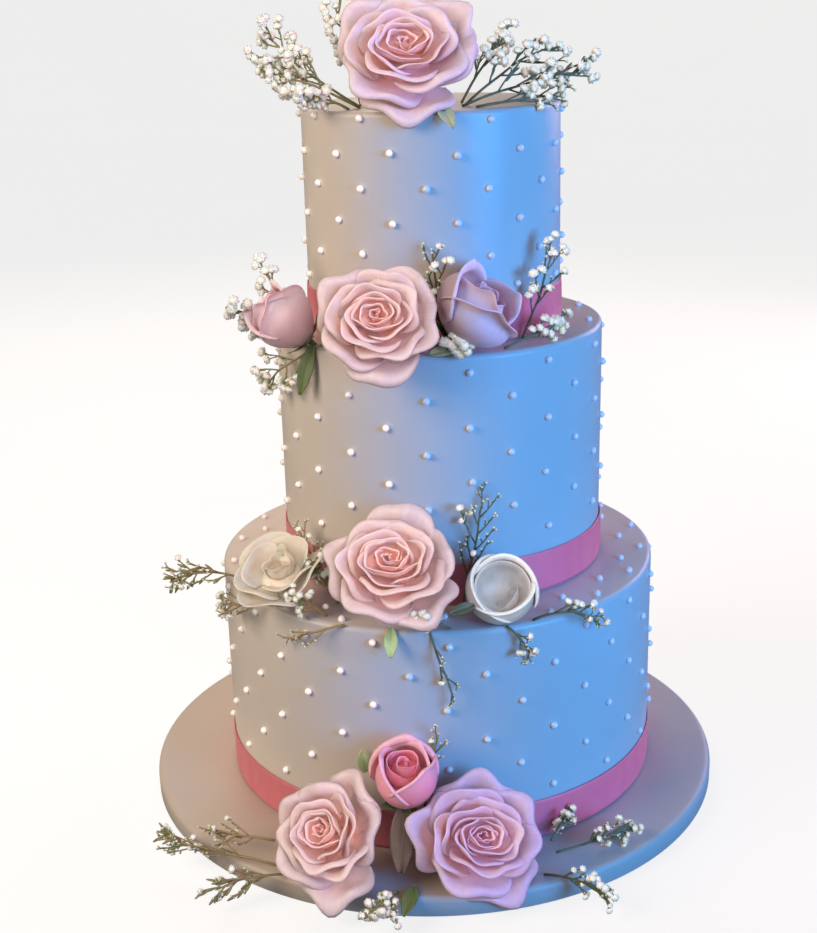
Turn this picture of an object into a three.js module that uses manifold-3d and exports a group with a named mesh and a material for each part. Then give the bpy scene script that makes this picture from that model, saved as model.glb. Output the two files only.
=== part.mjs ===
// A three-tier wedding cake on its own iced round board.
//
// The tiers are covered in smooth ivory icing and dotted all round with piped pearls, a satin ribbon
// wraps the foot of each tier, and roses, buds and sprigs of baby's breath climb the front.
// Millimetres, +Z up. The origin is the centre of the board's underside, and the front faces -Y.

import * as THREE from 'three';
import { mergeVertices } from 'three/addons/utils/BufferGeometryUtils.js';
import Module from 'manifold-3d';

const wasm = await Module();
wasm.setup();

// ---------------------------------------------------------------------------------------------
// Driving dimensions
// ---------------------------------------------------------------------------------------------

const GAP = 0.3; // clearance between pieces that touch

const BOARD = { radius: 194, thickness: 13, edge: 3 }; // a 15 in cake drum, iced over

// Each tier: its radius, its height, how far it stands off the board's centre, its flat sides (two
// for each pearl in a row, so that every pearl sits on a flat), and its pearls: how many in a row,
// the turn of the first, the rows down the wall, how far the first is below the top edge, the drop
// from row to row, and the rings of pearls on the tier's top.
const TIERS = [
  {
    name: 'bottom', radius: 144.5, height: 148, x: 5.5, sides: 40,
    pearls: { perRow: 20, turn: 2.2, rows: 6, first: 9, drop: 20.6, rings: 2 },
  },
  {
    name: 'middle', radius: 105, height: 157, x: 10, sides: 26,
    pearls: { perRow: 13, turn: 9.5, rows: 7, first: 9.5, drop: 17.2, rings: 1 },
  },
  {
    name: 'top', radius: 80.5, height: 136.5, x: 7.5, sides: 26,
    pearls: { perRow: 13, turn: -2.9, rows: 6, first: 4.5, drop: 19.6, rings: 0 },
  },
];
const TIER_EDGE = 3; // how far a tier's top edge is taken off
const BOARD_SIDES = 48;

const RIBBON = { width: 26, thickness: 0.9 };

const PEARL = { radius: 2.9, height: 2.4, sunk: 0.8, sides: 4 }; // a piped dot, drawn up to a point
const PEARL_RING = { inset: 7.5, step: 12.5 }; // rings of pearls on a tier's top, in from its edge
const PEARL_WANDER = 1.4; // how far a piped pearl strays from its place
const PEARL_CLEAR = 1.2; // space kept between a pearl and a flower

const COLOURS = {
  icing: 0xe9dfd0,
  board: 0xe4d8c8,
  ribbon: 0xd9798a,
  blush: 0xf2cfc8,
  deepPink: 0xd97f94,
  white: 0xf3efe6,
  sprig: 0x6f8450,
  leaf: 0x5f7f3c,
  paleLeaf: 0xb9c46a,
  greyLeaf: 0x9d8f8a,
};

const ICING_ROUGHNESS = 0.45;

// ---------------------------------------------------------------------------------------------
// Solids
// ---------------------------------------------------------------------------------------------

/** A closed geometry as a manifold solid, its shared vertices merged and its faces outward. */
function solid(geometry) {
  const bare = geometry.clone();
  for (const name of Object.keys(bare.attributes)) {
    if (name !== 'position') bare.deleteAttribute(name);
  }
  const merged = mergeVertices(bare, 1e-4);
  const vertProperties = new Float32Array(merged.attributes.position.array);
  let triVerts = withoutSlivers(new Uint32Array(merged.index.array));
  if (signedVolume(vertProperties, triVerts) < 0) triVerts = turnedOver(triVerts);
  return new wasm.Manifold(new wasm.Mesh({ numProp: 3, vertProperties, triVerts }));
}

/** The triangles that still have three different corners once vertices are merged. */
function withoutSlivers(triangles) {
  const kept = [];
  for (let i = 0; i < triangles.length; i += 3) {
    const [a, b, c] = triangles.slice(i, i + 3);
    if (a !== b && b !== c && c !== a) kept.push(a, b, c);
  }
  return new Uint32Array(kept);
}

function signedVolume(points, triangles) {
  const corner = (i) => new THREE.Vector3().fromArray(points, 3 * i);
  let sum = 0;
  for (let i = 0; i < triangles.length; i += 3) {
    const [a, b, c] = [corner(triangles[i]), corner(triangles[i + 1]), corner(triangles[i + 2])];
    sum += a.dot(b.cross(c)) / 6;
  }
  return sum;
}

function turnedOver(triangles) {
  return triangles.map((_, i) => triangles[i - (i % 3) + [0, 2, 1][i % 3]]);
}

function joined(solids) {
  return solids.reduce((sum, next) => sum.add(next));
}

/** The same solid fattened by about the gap: its copies shifted both ways along each axis. */
function fattened(piece, by = GAP) {
  const ways = [[by, 0, 0], [-by, 0, 0], [0, by, 0], [0, -by, 0], [0, 0, by], [0, 0, -by]];
  return joined(ways.map((way) => piece.translate(way)));
}

/** The largest separate piece of a solid, with the scraps of a cut dropped. */
function largestPiece(piece) {
  const parts = piece.decompose();
  return parts.reduce((best, next) => (next.volume() > best.volume() ? next : best));
}

function geometryOf(piece) {
  const mesh = piece.getMesh();
  const geometry = new THREE.BufferGeometry();
  geometry.setAttribute('position', new THREE.BufferAttribute(new Float32Array(mesh.vertProperties), 3));
  geometry.setIndex(new THREE.BufferAttribute(new Uint32Array(mesh.triVerts), 1));
  geometry.computeVertexNormals();
  return geometry;
}

/** A profile of [radius, z] pairs turned round the Z axis. It starts and ends on the axis. */
function turned(profile, sides) {
  const points = profile.map(([radius, z]) => new THREE.Vector2(radius, z));
  return new THREE.LatheGeometry(points, sides).rotateX(Math.PI / 2);
}

/** A ring of rectangular section about the Z axis. */
function ring(inner, outer, z0, z1, sides) {
  return turned([[inner, z0], [outer, z0], [outer, z1], [inner, z1], [inner, z0]], sides);
}

/**
 * A thin sheet closed into a solid. at(u, v) gives its middle surface for u from -1 to 1 across
 * and v from 0 to 1 along, and both faces are split into triangles alike.
 */
function sheet(at, across, along, thickness) {
  const points = [];
  const step = 0.01;
  for (const side of [-1, 1]) {
    for (let j = 0; j <= along; j++) {
      for (let i = 0; i <= across; i++) {
        const u = -1 + (2 * i) / across;
        const v = j / along;
        const du = at(u + step, v).sub(at(u - step, v));
        const dv = at(u, v + step).sub(at(u, v - step));
        const normal = du.cross(dv).normalize();
        points.push(at(u, v).addScaledVector(normal, (side * thickness) / 2));
      }
    }
  }
  const columns = across + 1;
  const faceSize = columns * (along + 1);
  const triangles = [];
  const quad = (a, b, c, d) => triangles.push(a, b, c, a, c, d);
  for (let j = 0; j < along; j++) {
    for (let i = 0; i < across; i++) {
      const a = j * columns + i;
      quad(a, a + columns, a + columns + 1, a + 1);
      quad(faceSize + a + 1, faceSize + a + columns + 1, faceSize + a + columns, faceSize + a);
    }
  }
  const rim = [];
  for (let i = 0; i < across; i++) rim.push(i);
  for (let j = 0; j < along; j++) rim.push(j * columns + across);
  for (let i = across; i > 0; i--) rim.push(along * columns + i);
  for (let j = along; j > 0; j--) rim.push(j * columns);
  rim.forEach((a, k) => {
    const b = rim[(k + 1) % rim.length];
    quad(a, b, b + faceSize, a + faceSize);
  });
  const geometry = new THREE.BufferGeometry().setFromPoints(points);
  geometry.setIndex(triangles);
  return geometry;
}

// ---------------------------------------------------------------------------------------------
// Directions and chance
// ---------------------------------------------------------------------------------------------

const radians = THREE.MathUtils.degToRad;

/** A unit vector by its turn from the front (-Y) towards +X and its rise from level, in degrees. */
function heading(turn, rise) {
  const [a, e] = [radians(turn), radians(rise)];
  return new THREE.Vector3(Math.sin(a) * Math.cos(e), -Math.cos(a) * Math.cos(e), Math.sin(e));
}

/** The turn that stands a piece made along +Z on the axis heading, rolled about it. */
function facing(axis, roll = 0) {
  const stand = new THREE.Quaternion().setFromUnitVectors(new THREE.Vector3(0, 0, 1), axis);
  const spin = new THREE.Quaternion().setFromAxisAngle(new THREE.Vector3(0, 0, 1), radians(roll));
  return stand.multiply(spin);
}

/** An even, repeatable wobble between -1 and 1 for a whole number and a kind. */
function wobble(index, kind) {
  const value = Math.sin(index * 12.9898 + kind * 78.233) * 43758.5453;
  return 2 * (value - Math.floor(value)) - 1;
}

// ---------------------------------------------------------------------------------------------
// Board, tiers and ribbons
// ---------------------------------------------------------------------------------------------

/** A flat-topped round block with its top edge taken off. */
function roundBlock(radius, z0, z1, edge, sides) {
  const profile = [[0, z0], [radius, z0]];
  for (const angle of [0, 90]) {
    const a = radians(angle);
    profile.push([radius - edge + edge * Math.cos(a), z1 - edge + edge * Math.sin(a)]);
  }
  profile.push([0, z1]);
  return turned(profile, sides);
}

/** Each tier with the height it stands at and its top. */
function stacked(tiers) {
  let top = BOARD.thickness;
  return tiers.map((tier) => {
    const foot = top + GAP;
    top += tier.height;
    return { ...tier, foot, top };
  });
}

const tiers = stacked(TIERS);

function tierBody(tier, grown = 0) {
  const block = roundBlock(tier.radius + grown, tier.foot - grown, tier.top + grown, TIER_EDGE, tier.sides);
  return solid(block.rotateZ(radians(flatTurn(tier))).translate(tier.x, 0, 0));
}

/** The turn that brings the middle of one of a tier's flats under its first pearl. */
function flatTurn(tier) {
  return tier.pearls.turn - 180 / tier.sides;
}

function boardBody(grown = 0) {
  return solid(roundBlock(BOARD.radius + grown, -grown, BOARD.thickness + grown, BOARD.edge, BOARD_SIDES));
}

/** The ribbon round the foot of a tier. */
function ribbonBody(tier, grown = 0) {
  const inner = tier.radius + GAP;
  const foot = tier.foot + GAP;
  const outer = inner + RIBBON.thickness;
  const band = ring(inner - grown, outer + grown, foot - grown, foot + RIBBON.width + grown, tier.sides);
  return solid(band.rotateZ(radians(flatTurn(tier))).translate(tier.x, 0, 0));
}

/** Where the pearls of a tier sit: a point on the icing and the way each one faces. */
function pearlPlaces(tier) {
  const { perRow, turn, rows, rings } = tier.pearls;
  const places = [];
  const pitch = 360 / perRow;
  for (let row = -rings; row < rows; row++) {
    const offset = row % 2 === 0 ? 0 : pitch / 2;
    for (let k = 0; k < perRow; k++) {
      const index = (row + rings) * perRow + k;
      const stray = PEARL_WANDER * wobble(index, 1);
      const angle = turn + offset + k * pitch + (stray / tier.radius) * (180 / Math.PI);
      const climb = PEARL_WANDER * wobble(index, 2);
      places.push(row < 0 ? pearlOnTop(tier, angle, row, climb) : pearlOnWall(tier, angle, row, climb));
    }
  }
  return places;
}

function pearlOnWall(tier, angle, row, climb) {
  const outward = heading(angle, 0);
  const reach = tier.radius * facetCloseness(angle - flatTurn(tier), tier.sides);
  const point = outward.clone().multiplyScalar(reach).add(new THREE.Vector3(tier.x, 0, 0));
  point.z = tier.top - tier.pearls.first - row * tier.pearls.drop + climb;
  return { point, outward };
}

function pearlOnTop(tier, angle, row, climb) {
  const reach = tier.radius - PEARL_RING.inset - (-1 - row) * PEARL_RING.step + climb;
  const point = heading(angle, 0).multiplyScalar(reach).add(new THREE.Vector3(tier.x, 0, tier.top));
  return { point, outward: new THREE.Vector3(0, 0, 1) };
}

/** How near the flat-sided wall is to its axis at an angle, as a share of the full radius. */
function facetCloseness(angle, sides) {
  const half = Math.PI / sides;
  const within = ((radians(angle) % (2 * half)) + 2 * half) % (2 * half);
  return Math.cos(half) / Math.cos(within - half);
}

/** One pearl: a small peak with a foot that is sunk in the icing. */
function pearlBody({ point, outward }, grown = 0) {
  const { radius, height, sunk, sides } = PEARL;
  const profile = [[0, -sunk], [radius + grown, -sunk], [0, height + grown]];
  const dot = turned(profile, sides).applyQuaternion(facing(outward));
  return solid(dot.translate(point.x, point.y, point.z));
}

/** A tier with its pearls fused on, but for those that a flower or ribbon would meet. */
function pearledTier(tier, others) {
  const pearls = pearlPlaces(tier)
    .filter((place) => pearlBody(place, PEARL_CLEAR).intersect(others).isEmpty())
    .map((place) => pearlBody(place));
  return tierBody(tier).add(joined(pearls));
}

// ---------------------------------------------------------------------------------------------
// Roses and buds
// ---------------------------------------------------------------------------------------------

// Shares of a bloom's radius but for the thickness: where its petals leave its axis as
// [radius, height], how wide one is at its neck and across its middle, how far along it starts to
// roll back, and how far that roll carries it outwards.
const PETAL = {
  thickness: 1.1, foot: [0.3, 0.12], neck: 0.2, breadth: 0.94, rollsFrom: 0.62, rollsOut: 0.45,
};

/**
 * One petal about a bloom's axis, which is +Z, as a thin solid. Lengths are shares of the
 * bloom's radius: the petal leaves the foot, is at belly half way and reaches rim at its tip,
 * each a [radius, height], while curl rolls the tip back down and point draws it out.
 */
function petal(size, { angle, spread, belly, rim, curl, point, tuck }) {
  const { foot, neck, breadth, rollsFrom, rollsOut } = PETAL;
  const at = (u, v) => {
    const along = v * (1 - point * u * u);
    const rest = 1 - along;
    const lift = (k) => foot[k] * rest ** 2 + 2 * belly[k] * along * rest + rim[k] * along ** 2;
    const roll = Math.max(0, along - rollsFrom) / (1 - rollsFrom);
    const radius = lift(0) + curl * rollsOut * roll + tuck * u;
    const height = lift(1) - curl * roll * roll - tuck * u;
    const width = spread * (neck + breadth * Math.sin(Math.PI * (0.02 + 0.78 * v)));
    const turn = radians(angle + width * u);
    return new THREE.Vector3(radius * Math.cos(turn), radius * Math.sin(turn), height).multiplyScalar(size);
  };
  return solid(sheet(at, 3, 2, PETAL.thickness));
}

/** A whorl of petals spread evenly round the axis, each a little different. */
function whorl(size, shape, seed) {
  const petals = [];
  for (let k = 0; k < shape.count; k++) {
    const wild = wobble(k, seed);
    const angle = shape.start + (360 / shape.count) * k + 6 * wild;
    const reach = 1 + 0.035 * wobble(k, seed + 0.5);
    const rim = [shape.rim[0] * reach, shape.rim[1] * (2 - reach)];
    petals.push(petal(size, { ...shape, angle, rim, curl: shape.curl * (1 + 0.4 * wild) }));
  }
  return petals;
}

// The sectors of a bloom's folded middle, so that three petals and five both divide them, how far
// its lobes stand out and up, as shares of the bloom's radius, and the twist from ring to ring.
const HEART = { sectors: 15, lobeOut: 0.1, lobeUp: 0.035, twist: 2.2 };

/**
 * The folded middle of a bloom as one solid. Its rings run from the top of the axis outwards and
 * back to the foot, each [radius, height, lobes]: crests are petal rims and troughs are folds.
 */
function heart(size, rings, seed) {
  const { sectors, lobeOut, lobeUp, twist } = HEART;
  const points = [new THREE.Vector3(0, 0, rings[0][1] * size)];
  rings.slice(1).forEach(([radius, height, lobes], k) => {
    for (let i = 0; i < sectors; i++) {
      const turn = (2 * Math.PI * i) / sectors;
      const lobe = lobes ? Math.cos(lobes * turn + twist * k + seed) : 0;
      const reach = radius * size * (1 + lobeOut * lobe);
      const z = size * (height + lobeUp * lobe);
      points.push(new THREE.Vector3(reach * Math.cos(turn), reach * Math.sin(turn), z));
    }
  });
  points.push(new THREE.Vector3(0, 0, 0));
  return solid(skin(points, rings.length - 1, sectors));
}

const CALYX = { stem: 3, girth: 0.24, height: 0.1, sides: 5 }; // girth and height as shares of the bloom

/** The green foot of a bloom and the stub of stem that pins it to the cake. */
function calyx(size, stem) {
  const profile = [[0, -stem], [CALYX.stem, -stem], [CALYX.girth * size, 0], [0, CALYX.height * size]];
  return solid(turned(profile, CALYX.sides));
}

// Each kind of bloom: the rings of its heart and, on the open rose, its outer petals.
const OPEN_ROSE = {
  rings: [
    [0, 0.8], [0.13, 0.9], [0.2, 0.7], [0.34, 0.88, 3], [0.42, 0.62, 3], [0.64, 0.76, 5], [0.42, 0.05],
  ],
  petals: {
    count: 5, start: 8, spread: 41, belly: [0.84, 0.1], rim: [0.98, 0.5], curl: 0.17, point: 0.2, tuck: 0.07,
  },
  middle: 0.4,
};
const CLOSED_BUD = {
  rings: [
    [0, 1.62], [0.2, 1.8], [0.28, 1.55], [0.5, 1.78, 3], [0.62, 1.5, 3], [0.82, 1.6, 3], [0.98, 1.1, 3],
    [0.92, 0.55], [0.5, 0.08],
  ],
  middle: 0.8,
};
const OPENING_BUD = {
  rings: [
    [0, 1.2], [0.16, 1.42], [0.28, 1.1], [0.5, 1.5, 3], [0.6, 1.15, 3], [0.98, 1.45, 3], [0.96, 0.95, 3],
    [0.84, 0.4], [0.4, 0.03],
  ],
  middle: 0.8,
};
const RUFFLED = {
  rings: [
    [0, 0.42], [0.16, 0.52], [0.26, 0.36], [0.54, 0.62, 5], [0.62, 0.4, 5], [1.0, 0.54, 5], [0.94, 0.42, 5],
    [0.4, 0],
  ],
  middle: 0.3,
};

/** A bloom: its heart, its open outer petals and the stem stub that holds it. */
function bloom({ size, kind, stem, seed }) {
  const petals = kind.petals ? whorl(size, kind.petals, seed) : [];
  return joined([heart(size, kind.rings, seed), calyx(size, stem), ...petals]);
}

const OPEN_CUP = {
  wall: [[0, 0], [0.55, 0.06], [0.98, 0.6], [1.0, 1.12], [0.9, 1.14], [0.78, 0.62], [0.4, 0.34], [0, 0.3]],
  sides: 12,
  middle: 0.8,
};

/** The white bud that has opened into a cup: one thick petal wall round a hollow. */
function openCup({ size, stem }) {
  const profile = OPEN_CUP.wall.map(([radius, z]) => [radius * size, z * size]);
  return solid(turned(profile, OPEN_CUP.sides)).add(calyx(size, stem));
}

// ---------------------------------------------------------------------------------------------
// Sprigs and leaves
// ---------------------------------------------------------------------------------------------

// Radii of a stem, a twig and a floret, where along the stem its first and last twigs leave it,
// and how long a twig is, as a share of the stem, at the stem's foot and at its tip.
const SPRIG = {
  stem: 1.0, twig: 0.7, floret: 3, sides: 3, twigsFrom: 0.42, twigsTo: 0.88, longest: 0.38, shortest: 0.2,
};

/** A sprig of baby's breath: a bent stem and twigs off it, each ending in a floret. */
function sprig({ root, tip, bend, twigs, fan, seed }) {
  const { twigsFrom, twigsTo, longest, shortest } = SPRIG;
  const [start, end] = [new THREE.Vector3(...root), new THREE.Vector3(...tip)];
  const middle = start.clone().add(end).multiplyScalar(0.5).add(new THREE.Vector3(...bend));
  const path = new THREE.QuadraticBezierCurve3(start, middle, end);
  const length = start.distanceTo(end);
  const aslant = new THREE.Vector3(0.35, 1, 0.2);
  const side = end.clone().sub(start).cross(aslant).normalize();
  const pieces = [floweringStalk(path, SPRIG.stem, 2)];
  for (let k = 0; k < twigs; k++) {
    const t = twigsFrom + ((twigsTo - twigsFrom) * k) / (twigs - 1);
    const base = path.getPoint(t);
    const way = (k % 2 === 0 ? 1 : -1) * fan * (1.3 + 0.4 * wobble(k, seed));
    const reach = length * (longest + (shortest - longest) * t) * (1 + 0.2 * wobble(k, seed + 1));
    const point = base.clone().addScaledVector(path.getTangent(t), reach).addScaledVector(side, way * reach);
    pieces.push(floweringStalk(new THREE.LineCurve3(base, point), SPRIG.twig, 1));
  }
  return joined(pieces);
}

/** A stalk along a curve that swells into a pointed floret at its end, as one closed skin. */
function floweringStalk(path, radius, steps) {
  const { floret, sides } = SPRIG;
  const sections = [];
  for (let k = 0; k <= steps; k++) sections.push({ centre: path.getPoint(k / steps), radius });
  const [end, way] = [path.getPoint(1), path.getTangent(1)];
  sections.push({ centre: end.clone().addScaledVector(way, floret * 0.7), radius: floret });
  const across = new THREE.Vector3().crossVectors(way, new THREE.Vector3(0.3, 0.5, 1)).normalize();
  const upward = new THREE.Vector3().crossVectors(across, way).normalize();
  const points = [path.getPoint(0)];
  for (const section of sections) {
    for (let i = 0; i < sides; i++) {
      const a = (2 * Math.PI * i) / sides;
      const out = across.clone().multiplyScalar(Math.cos(a)).addScaledVector(upward, Math.sin(a));
      points.push(section.centre.clone().addScaledVector(out, section.radius));
    }
  }
  points.push(end.clone().addScaledVector(way, floret * 1.7));
  return solid(skin(points, sections.length, sides));
}

/** Closed rings of points, with one point before the first ring and one after the last. */
function skin(points, rings, sides) {
  const triangles = [];
  const at = (ringIndex, i) => 1 + ringIndex * sides + (i % sides);
  for (let i = 0; i < sides; i++) {
    triangles.push(0, at(0, i), at(0, i + 1));
    for (let k = 0; k < rings - 1; k++) {
      triangles.push(at(k, i), at(k + 1, i), at(k + 1, i + 1), at(k, i), at(k + 1, i + 1), at(k, i + 1));
    }
    triangles.push(points.length - 1, at(rings - 1, i + 1), at(rings - 1, i));
  }
  const geometry = new THREE.BufferGeometry().setFromPoints(points);
  geometry.setIndex(triangles);
  return geometry;
}

const LEAF = { thickness: 0.8, stalk: 0.14, cup: 0.12, ripple: 0.04 }; // all but the first, of its width

/** A thin wavy leaf from its stalk end to its tip, as wide as given and cupped along its rib. */
function leaf({ root, tip, width }) {
  const { thickness, stalk, cup, ripple } = LEAF;
  const start = new THREE.Vector3(...root);
  const along = new THREE.Vector3(...tip).sub(start);
  const side = along.clone().cross(new THREE.Vector3(0, -0.6, 0.8)).normalize();
  const lift = side.clone().cross(along).normalize();
  const at = (u, v) => {
    const belly = Math.sin(Math.PI * THREE.MathUtils.clamp(0.05 + 0.93 * v, 0, 1));
    const half = (width / 2) * (stalk + (1 - stalk) * belly);
    const wave = width * (cup * (Math.sin(Math.PI * v) + Math.abs(u)) - ripple * Math.sin(5 * v + u));
    const rib = start.clone().addScaledVector(along, v);
    return rib.addScaledVector(side, u * half).addScaledVector(lift, wave);
  };
  return solid(sheet(at, 2, 3, thickness));
}

// ---------------------------------------------------------------------------------------------
// Where the flowers go
// ---------------------------------------------------------------------------------------------

// Each bloom: the centre of its open face, the way it faces as [turn, rise, roll], its radius, its
// kind, and how far its stem reaches back towards the cake.
const BLOOMS = [
  ['rose_top', [-7, -68, 485], [0, 26, 8], 41, OPEN_ROSE, 46],
  ['rose_middle', [-26, -114, 341], [2, 25, 30], 37, OPEN_ROSE, 34],
  ['rose_lower', [-22, -136, 199.5], [-3, 42, 55], 40.5, OPEN_ROSE, 30],
  ['rose_board_left', [-62, -174, 43], [-24, 38, 0], 41, OPEN_ROSE, 36],
  ['rose_board_right', [28, -173, 40], [18, 36, 50], 41, OPEN_ROSE, 36],
  ['bud_middle_left', [-82, -72, 334], [-80, 48, 0], 19, CLOSED_BUD, 24],
  ['bud_middle_right', [31, -99, 344], [62, 44, 20], 23, OPENING_BUD, 26],
  ['flower_white_left', [-92, -101, 184], [-30, 60, 0], 28, RUFFLED, 24],
  ['bud_board_centre', [-16, -161, 73], [0, 76, 0], 17, CLOSED_BUD, 46],
  ['bud_white_right', [44, -130, 182], [4, 40, 0], 20.5, OPEN_CUP, 12],
].map(([name, at, [turn, rise, roll], size, kind, stem], index) => (
  { name, at, turn, rise, roll, size, kind, stem, seed: 3 * index + 1 }
));

// Each leaf: its stalk end, its tip, its width and its colour.
const LEAVES = [
  ['leaf_top', [13, -72, 456], [20, -90, 446], 9, 'paleLeaf'],
  ['leaf_middle_dark', [-66, -72, 319], [-75, -76, 289], 9, 'leaf'],
  ['leaf_middle_pale', [4, -103, 317.5], [19, -100, 318.5], 8, 'paleLeaf'],
  ['leaf_lower_dark', [27, -142, 177], [12, -151, 175], 7, 'leaf'],
  ['leaf_lower_tip', [-22, -139, 161], [-23, -150, 148], 8, 'paleLeaf'],
  ['leaf_board_gold', [-41, -136, 66], [-43, -138, 82], 8, 'paleLeaf'],
  ['leaf_board_grey', [-17, -160, 58], [-20, -178, 20], 15, 'greyLeaf'],
  ['leaf_board_green', [-12, -184, 13.6], [-18, -205, 9], 9, 'leaf'],
].map(([name, root, tip, width, colour]) => ({ name, root, tip, width, colour }));

// Each sprig: where its stem starts and ends, how it bends between, how many twigs it has and how
// widely they fan out.
const SPRIGS = [
  ['top_left_fan', [-34, -40, 455], [-86, -42, 496], [-8, 0, 0], 3, 0.6],
  ['top_back', [-34, -30, 455], [-47, -20, 511], [0, 0, 0], 2, 0.5],
  ['top_left_rim', [-40, -56, 455], [-63, -62, 463], [0, -3, 4], 2, 0.8],
  ['top_right_small', [26, -30, 455], [52, -27, 493], [0, 0, 4], 2, 0.4],
  ['top_right_fan', [26, -54, 455], [96, -40, 472], [0, 0, 5], 3, 0.35],
  ['top_right_low', [34, -62, 455], [82, -46, 459.5], [4, -4, 2], 2, 0.35],
  ['middle_behind', [-72, -50, 318.5], [-94, -55, 360], [-4, 0, 0], 2, 0.5],
  ['middle_left', [-80, -48, 318.5], [-114, -68, 341], [0, 4, 2], 2, 0.8],
  ['middle_hanging', [-60, -72, 319], [-97, -52, 291], [-6, -10, 3], 3, 0.5],
  ['middle_up', [6, -86, 318.5], [7, -89, 375], [4, -2, 0], 2, 0.5],
  ['middle_right_up', [60, -66, 318.5], [77, -70, 369], [2, -2, 0], 2, 0.5],
  ['middle_right_long', [48, -90, 318.5], [82, -66, 328], [3, -4, 2], 3, 0.35],
  ['lower_far_left', [-114, -62, 161.5], [-165, -60, 168], [0, 0, 7], 3, 0.6],
  ['lower_left', [-88, -100, 161.5], [-130, -84, 155], [-14, -14, 7], 3, 0.5],
  ['lower_left_up', [-62, -84, 161.5], [-80, -76, 201], [0, 0, 0], 2, 0.7],
  ['lower_up', [20, -112, 161.5], [34, -108, 229], [0, 0, 0], 3, 0.5],
  ['lower_centre', [12, -139, 161.5], [-4, -152, 176], [0, -6, 3], 2, 0.9],
  ['lower_hanging', [0, -142, 162], [14, -150, 121], [-2, -6, 6], 2, 0.4],
  ['lower_right', [62, -130, 161.5], [102, -122, 156], [2, -10, 16], 3, 0.5],
  ['board_left_up', [-98, -150, 26], [-138, -134, 22], [-2, -4, 4], 2, 0.5],
  ['board_left', [-92, -160, 13.5], [-164, -140, 18], [-4, -6, 9], 3, 0.45],
  ['board_left_low', [-86, -168, 13.5], [-130, -184, 15], [0, 0, 7], 2, 0.5],
  ['board_centre', [-22, -187, 13.5], [-36, -209, 14], [0, -6, 9], 3, 0.7],
  ['board_right_tuft', [72, -152, 24], [84, -126, 24], [0, 0, 4], 2, 0.7],
  ['board_right', [74, -162, 22], [120, -134, 20], [4, -6, 4], 3, 0.45],
  ['board_right_low', [66, -172, 13.5], [100, -194, 14], [2, -2, 7], 3, 0.5],
].map(([name, root, tip, bend, twigs, fan], index) => (
  { name: `sprig_${name}`, root, tip, bend, twigs, fan, seed: index + 2 }
));

/** A bloom made about the origin, moved so that its open face is centred at its place. */
function placed(piece, { at, turn, rise, roll, size, kind }) {
  const axis = heading(turn, rise);
  const origin = new THREE.Vector3(...at).addScaledVector(axis, -kind.middle * size);
  const matrix = new THREE.Matrix4().compose(origin, facing(axis, roll), new THREE.Vector3(1, 1, 1));
  return piece.transform(matrix.toArray());
}

// ---------------------------------------------------------------------------------------------
// The cake
// ---------------------------------------------------------------------------------------------

const cake = new THREE.Group();
cake.name = 'wedding_cake';

function addPiece(name, piece, colour, roughness = 0.6) {
  const material = new THREE.MeshStandardMaterial({ color: colour, roughness, metalness: 0 });
  const mesh = new THREE.Mesh(geometryOf(piece), material);
  mesh.name = name;
  cake.add(mesh);
}

function colourOf(name) {
  if (name.includes('white')) return COLOURS.white;
  return name.includes('bud') ? COLOURS.deepPink : COLOURS.blush;
}

/** Whether the boxes of two solids come within the gap of each other. */
function near(one, other) {
  const [a, b] = [one.boundingBox(), other.boundingBox()];
  return [0, 1, 2].every((k) => a.min[k] - 2 * GAP < b.max[k] && b.min[k] - 2 * GAP < a.max[k]);
}

/** What the flowers rest against, grown by the gap: the board, the tiers and their ribbons. */
function cakeBody() {
  return joined([boardBody(GAP), ...tiers.flatMap((tier) => [tierBody(tier, GAP), ribbonBody(tier, GAP)])]);
}

/** Flowers in the order they are laid on, each cut clear of what already stands there. */
function layFlowers() {
  const cakeAndRibbons = cakeBody();
  const flowers = [];
  const lay = (name, piece, colour) => {
    let clear = piece.subtract(cakeAndRibbons);
    for (const other of flowers) {
      if (near(clear, other.piece)) clear = clear.subtract(other.fat);
    }
    clear = largestPiece(clear);
    flowers.push({ name, piece: clear, fat: fattened(clear), colour });
  };
  for (const spec of BLOOMS) {
    const shape = spec.kind === OPEN_CUP ? openCup(spec) : bloom(spec);
    lay(spec.name, placed(shape, spec), colourOf(spec.name));
  }
  for (const spec of LEAVES) lay(spec.name, leaf(spec), COLOURS[spec.colour]);
  for (const spec of SPRIGS) lay(spec.name, sprig(spec), COLOURS.sprig);
  return flowers;
}

const flowers = layFlowers();
const flowersAndRibbons = joined([...flowers.map((f) => f.piece), ...tiers.map((t) => ribbonBody(t))]);

addPiece('cake_board', boardBody(), COLOURS.board, ICING_ROUGHNESS);
for (const tier of tiers) {
  addPiece(`tier_${tier.name}`, pearledTier(tier, flowersAndRibbons), COLOURS.icing, ICING_ROUGHNESS);
  addPiece(`ribbon_${tier.name}`, ribbonBody(tier), COLOURS.ribbon, 0.4);
}
for (const { name, piece, colour } of flowers) addPiece(name, piece, colour);

export default cake;
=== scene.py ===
"""The looks of a tall three-tier wedding cake on its iced board.

Smooth ivory tiers dotted with piped pearls, a satin ribbon round the foot of each, and roses,
buds, leaves and sprigs of baby's breath climbing the front. Sizes in the dataclasses are in
millimetres, as the model's are, and every mesh is written in metres.
"""

import logging
from dataclasses import dataclass, field, replace
from enum import Enum

import bpy
import numpy as np
from mathutils import Matrix, Vector
from mathutils.bvhtree import BVHTree


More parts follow.
